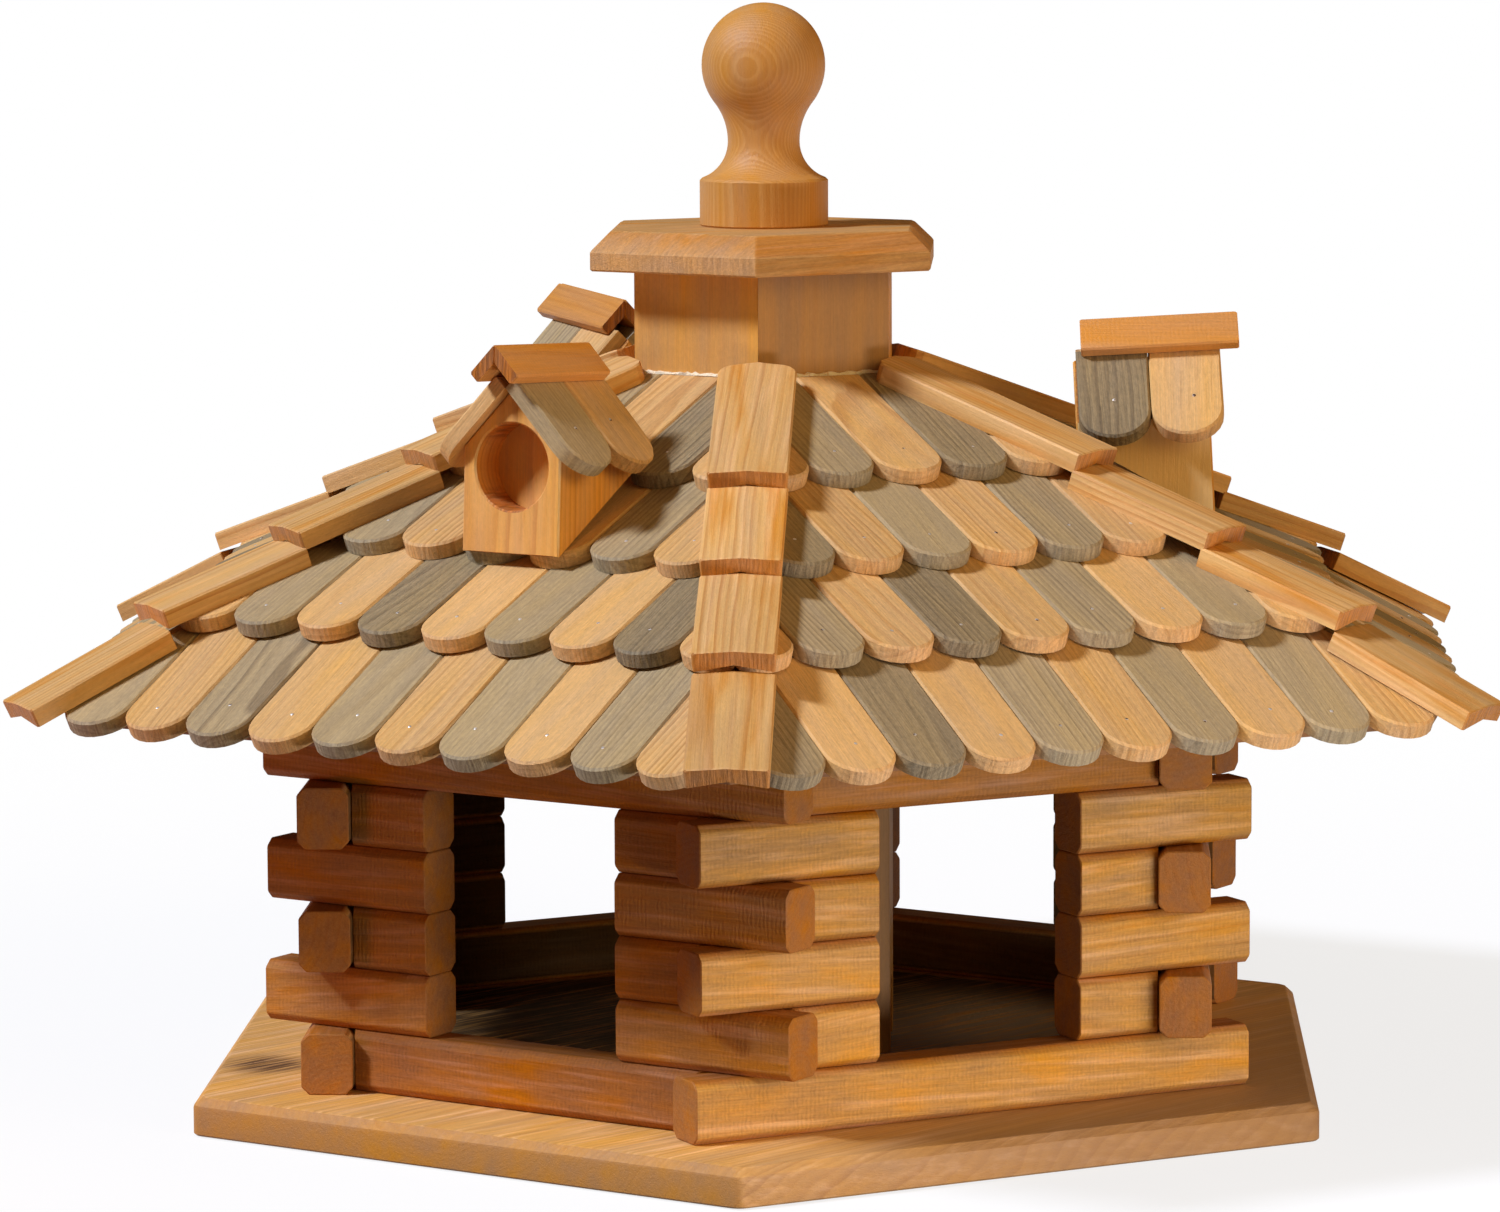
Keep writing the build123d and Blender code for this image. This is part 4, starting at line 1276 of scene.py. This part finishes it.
class FEEDER_OT_lid(bpy.types.Operator):
    """The lid plate with its broad chamfer and the turned knob"""

    bl_idname = "feeder.lid"
    bl_label = "Lid and knob"

    knob_pith: bpy.props.FloatVectorProperty(
        name="Knob pith", description="Where the pith of the knob's wood stands", subtype="XYZ", size=2,
        default=(-0.02, 0.064),
    )

    def plate(self, random):
        edge = sizes().edge
        insets = (edge, 0, 0, edge, LID_CHAMFER - edge, LID_CHAMFER + edge)
        side_top = LID_TOP - LID_CHAMFER
        heights = (
            LID_BOTTOM, LID_BOTTOM + edge, side_top - edge / 2, side_top + edge, LID_TOP - edge, LID_TOP,
        )
        stain = np.array((0, 0, 0, 1, 1, 0))[:, None] * LID_CHAMFER_STAIN
        return hexagon_board(
            "lid_board", SILO_OUT + LID_OVERHANG, LID_ROUND, 4, insets, heights, LID_GRAIN_ANGLE, random,
            stain=stain, near=50, far=60,
        )

    def knob_profile(self):
        """The knob's outline as (radius, height): a drum, two coves that meet at the neck and a
        ball that the upper cove runs into without a break."""
        base = KNOB_BASE_DIAMETER / 2
        ball = KNOB_BALL_DIAMETER / 2
        neck = KNOB_NECK_DIAMETER / 2
        edge = sizes().edge
        centre = KNOB_HEIGHT - ball
        drop = KNOB_NECK_HEIGHT - KNOB_BASE_HEIGHT - KNOB_CHAMFER
        climb = centre - KNOB_NECK_HEIGHT
        flare = base - KNOB_CHAMFER - neck
        lower = (flare**2 + drop**2) / (2 * flare)
        upper = (neck**2 + climb**2 - ball**2) / (2 * (ball - neck))
        meeting = math.asin(climb / (ball + upper))

        def arc(radius, middle, height, start, end, steps):
            swing = np.linspace(start, end, steps)
            return np.stack((middle + radius * np.cos(swing), height + radius * np.sin(swing)), axis=-1)

        drum = np.array(((base - edge, 0), (base, edge), (base, KNOB_BASE_HEIGHT)))
        flaring = arc(lower, neck + lower, KNOB_NECK_HEIGHT, math.pi + math.asin(drop / lower), math.pi, 12)
        rising = arc(upper, neck + upper, KNOB_NECK_HEIGHT, math.pi, math.pi - meeting, 14)
        sphere = arc(ball, 0, centre, -meeting, math.radians(88), 40)
        return np.concatenate((drum, flaring, rising[1:], sphere[1:]))

    def knob(self, random):
        profile = self.knob_profile()
        swing = np.linspace(0, 2 * math.pi, 72, endpoint=False)
        x = profile[:, :1] * np.cos(swing)
        y = profile[:, :1] * np.sin(swing)
        z = np.broadcast_to(profile[:, 1:], x.shape)
        rings = np.stack((x, y, z + LID_TOP), axis=-1)[None]
        local = np.stack((z, x - self.knob_pith[0], y - self.knob_pith[1]), axis=-1)[None]
        along = np.array((0.0, 0.0, 1.0))
        return wooden("knob", rings, local, along, random, near=0, far=1, tilt=0.02)

    def execute(self, context):
        random = np.random.default_rng(seed=61)
        material = lid_wood()
        place(self.plate(random), material, "lid", "lid_wood", "lid_plate")
        place(self.knob(random), knob_wood(), "lid", "lid_wood", "lid_knob")
        return {"FINISHED"}


class FEEDER_OT_nails(bpy.types.Operator):
    """Nail heads in the shingles and hip caps, and the filler bead round the silo"""

    bl_idname = "feeder.nails"
    bl_label = "Nails and bead"

    def heads(self, name, places, normals):
        """Low domes: rings of falling radius and rising height along each normal."""
        radius = sizes().nail
        swing = np.linspace(0, 2 * math.pi, 8, endpoint=False)
        # Any direction that no nail has
        aside = np.array((0.1, 1.1, 0.1))
        first = np.cross(normals, aside)
        first = first / np.linalg.norm(first, axis=1, keepdims=True)
        second = np.cross(normals, first)
        circle = first[:, None] * np.cos(swing)[:, None] + second[:, None] * np.sin(swing)[:, None]
        widths = radius * np.array((1, 0.9, 0.5))[:, None, None]
        heights = radius * np.array((-0.3, 0.2, 0.38))[:, None, None]
        rings = places[:, None, None] + circle[:, None] * widths + normals[:, None, None] * heights
        return loft(name, outward(rings)[0])

    def shingle_nails(self, row, random):
        offsets, faces = on_every_face(row_steps(row)[0])
        origin, down, normal = row_frame(row)
        shown = np.abs(offsets) < row_tip(row) * math.tan(HALF) - NAIL_FROM_HIP
        offsets = offsets[shown] + random.uniform(-NAIL_STRAY, NAIL_STRAY, shown.sum())
        along = row_length(row) - random.uniform(*SHINGLE_NAIL, shown.sum())
        places = origin + along[:, None] * down + offsets[:, None] * np.array((0.0, 1.0, 0.0))
        places = places + normal * (SHINGLE_THICK + SEAT)
        normals = np.tile(normal, (len(places), 1))
        return turned(places, facing(faces[shown])), turned(normals, facing(faces[shown]))

    def cap_nails(self, row, random):
        start, along, upright, span = cap_place(row)
        depth = span - random.uniform(*CAP_NAIL, SIDES)
        top = CAP_THICK / math.cos(CAP_TILT) - sizes().edge / 2
        places = start + depth[:, None] * along + upright * top
        angle = facing(np.arange(SIDES)) + TURN / 2
        return turned(places, angle), turned(np.tile(upright, (SIDES, 1)), angle)

    def gable_nails(self, random):
        """One nail in each gable shingle, about the middle of its length."""
        places = []
        normals = []
        for face in range(0, SIDES, 2):
            for side in (-1, 1):
                for rank in (0, 1):
                    start, down, normal = gable_place(side, rank)
                    depth = DORMER_SHINGLE_LENGTH - random.uniform(*GABLE_NAIL)
                    stray = np.array((random.uniform(-NAIL_STRAY, NAIL_STRAY), 0, 0))
                    head = start + stray + depth * down + normal * (SHINGLE_THICK + SEAT)
                    places.append(turned(leaning(head), facing(face)))
                    normals.append(turned(normal, facing(face)))
        return np.array(places), np.array(normals)

    def bead(self, random):
        """A lumpy tube round the silo on the top row's shingles: its path is a rounded hexagon."""
        radius = sizes().bead
        path = divided(hexagon_outline(SILO_OUT + BEAD_OFFSET, BEAD_CORNER, 3), 30)
        gap = np.linalg.norm(np.roll(path, -1, axis=0) - path, axis=1)
        path = path[gap > BEAD_STEP]
        out = path / np.linalg.norm(path, axis=1, keepdims=True)
        origin, _, normal = row_frame(SHINGLE_ROWS - 1)
        height = (origin + normal * SHINGLE_THICK)[2]
        swing = np.linspace(0, 2 * math.pi, 8, endpoint=False)
        lumps = radius * random.uniform(*BEAD_LUMPS, (len(path), 8))
        lumps = lumps * random.uniform(*BEAD_SWELLS, (len(path), 1))
        across = lumps * np.cos(swing)
        up = lumps * np.sin(swing)
        flat = path[:, None] + out[:, None] * across[..., None]
        rings = np.concatenate((flat, (height + up)[..., None]), axis=-1)[None]
        return loft("silo_bead", rings[:, :, ::-1], loop=True)

    def execute(self, context):
        random = np.random.default_rng(seed=71)
        steel = nail_steel()
        for row in range(SHINGLE_ROWS):
            places, normals = self.shingle_nails(row, random)
            cap_places, cap_normals = self.cap_nails(row, random)
            places = np.concatenate((places, cap_places))
            normals = np.concatenate((normals, cap_normals))
            place(self.heads(f"nails_{row + 1}", places, normals), steel, "house", "cap_wood")
        place(self.bead(random), bead_filler(), "house", "silo_wood")
        places, normals = self.gable_nails(random)
        place(self.heads("gable_nails", places, normals), steel, "house", "cap_wood")
        return {"FINISHED"}


class FEEDER_OT_stage(bpy.types.Operator):
    """The studio: a pale floor, two suns, two low lamps, an even sky and the photograph's camera"""

    bl_idname = "feeder.stage"
    bl_label = "Stage"

    def floor(self, stage):
        mesh = bpy.data.meshes.new("studio_floor")
        reach = 12
        below = -0.5 * MM
        corners = [(x * reach, y * reach, below) for x, y in ((-1, -1), (1, -1), (1, 1), (-1, 1))]
        mesh.from_pydata(corners, [], [(0, 1, 2, 3)])
        g = Graph(bpy.data.materials.new("studio_floor"))
        path = g.add("LightPath")
        seen = g.math("MAXIMUM", path.outputs["Is Camera Ray"], path.outputs["Is Glossy Ray"])
        seen = g.math("MAXIMUM", seen, path.outputs["Is Transmission Ray"])
        away = g.span(g.scaled(g.objects(), 1, 1, 0))
        share = g.times(g.times(g.ramp(away, 0.3, 1.2), 0.2, 0.8), seen)
        tone = g.mix(seen, (*stage.bounce, 1), (*stage.floor, 1))
        diffuse = g.add("BsdfDiffuse", {"Color": tone})
        white = g.add("Emission", {"Color": (1, 1, 1, 1), "Strength": 1.0})
        mixed = g.add("MixShader", {0: share, 1: diffuse.outputs[0], 2: white.outputs[0]})
        g.add("OutputMaterial", {"Surface": mixed.outputs[0]})
        mesh.materials.append(g.holder)
        floor = bpy.data.objects.new("studio_floor", mesh)
        bpy.context.scene.collection.objects.link(floor)

    def sky(self, stage):
        g = Graph(bpy.data.worlds.new("studio_sky"))
        seen = g.add("LightPath").outputs["Is Camera Ray"]
        even = g.add("Background", {"Color": (*stage.sky_tint, 1), "Strength": stage.sky})
        white = g.add("Background", {"Color": (1, 1, 1, 1), "Strength": 1.0})
        mixed = g.add("MixShader", {0: seen, 1: even.outputs[0], 2: white.outputs[0]})
        g.add("OutputWorld", {"Surface": mixed.outputs[0]})
        bpy.context.scene.world = g.holder

    def lamps(self, stage):
        """A soft sun from the upper left, a softer one from the right and low lamps by the logs,
        all looking at the middle."""
        for name, (kind, azimuth, elevation) in LAMPS.items():
            light = bpy.data.lights.new(f"{name}_light", kind)
            light.energy = getattr(stage, name)
            light.color = getattr(stage, f"{name}_tint")
            if kind == "SUN":
                light.angle = math.radians(SUN_SPREAD[name])
            else:
                light.shape = "RECTANGLE"
                light.size, light.size_y = LOW_LAMP_SIZE
            rise = math.radians(elevation)
            source = Vector(heading(azimuth)) * math.cos(rise) + Vector((0, 0, math.sin(rise)))
            lamp = bpy.data.objects.new(f"{name}_light", light)
            lamp.location = source * LAMP_DISTANCE
            lamp.rotation_euler = source.to_track_quat("Z", "Y").to_euler()
            lamp.visible_camera = False
            bpy.context.scene.collection.objects.link(lamp)

    def camera(self):
        lens = bpy.data.cameras.new("camera")
        lens.lens = LENS
        camera = bpy.data.objects.new("camera", lens)
        aim = Euler((math.radians(CAMERA_PITCH), 0, math.radians(CAMERA_TURN))).to_matrix()
        roll = Matrix.Rotation(math.radians(CAMERA_ROLL), 3, "Z")
        camera.rotation_euler = (aim @ roll).to_euler()
        camera.location = CAMERA_PLACE
        bpy.context.scene.collection.objects.link(camera)
        bpy.context.scene.camera = camera

    def execute(self, context):
        stage = context.scene.feeder_stage
        self.floor(stage)
        self.sky(stage)
        self.lamps(stage)
        self.camera()
        context.scene.view_settings.view_transform = "Standard"
        return {"FINISHED"}


OPERATORS = (
    FEEDER_OT_floor,
    FEEDER_OT_logs,
    FEEDER_OT_kept,
    FEEDER_OT_shingles,
    FEEDER_OT_caps,
    FEEDER_OT_dormers,
    FEEDER_OT_lid,
    FEEDER_OT_nails,
    FEEDER_OT_stage,
)


class FEEDER_PT_panel(bpy.types.Panel):
    """The feeder's operators and settings"""

    bl_label = "Bird feeder"
    bl_idname = "FEEDER_PT_panel"
    bl_space_type = "VIEW_3D"
    bl_region_type = "UI"
    bl_category = "Feeder"

    def draw(self, context):
        for operator in OPERATORS:
            self.layout.operator(operator.bl_idname)
        for group in (context.scene.feeder_sizes, context.scene.feeder_colours, context.scene.feeder_stage):
            for name in group.__annotations__:
                self.layout.prop(group, name)


GROUPS = {"feeder_sizes": FeederSizes, "feeder_colours": FeederColours, "feeder_stage": FeederStage}


def register():
    for name, group in GROUPS.items():
        bpy.utils.register_class(group)
        setattr(bpy.types.Scene, name, bpy.props.PointerProperty(type=group))
    for operator in OPERATORS:
        bpy.utils.register_class(operator)
    bpy.utils.register_class(FEEDER_PT_panel)


def unregister():
    bpy.utils.unregister_class(FEEDER_PT_panel)
    for operator in reversed(OPERATORS):
        bpy.utils.unregister_class(operator)
    for name, group in GROUPS.items():
        delattr(bpy.types.Scene, name)
        bpy.utils.unregister_class(group)


def main():
    register()
    bpy.ops.feeder.floor()
    bpy.ops.feeder.logs()
    bpy.ops.feeder.kept()
    bpy.ops.feeder.shingles()
    bpy.ops.feeder.caps()
    bpy.ops.feeder.dormers()
    bpy.ops.feeder.lid()
    bpy.ops.feeder.nails()
    bpy.ops.feeder.stage()


if __name__ == "__main__":
    main()
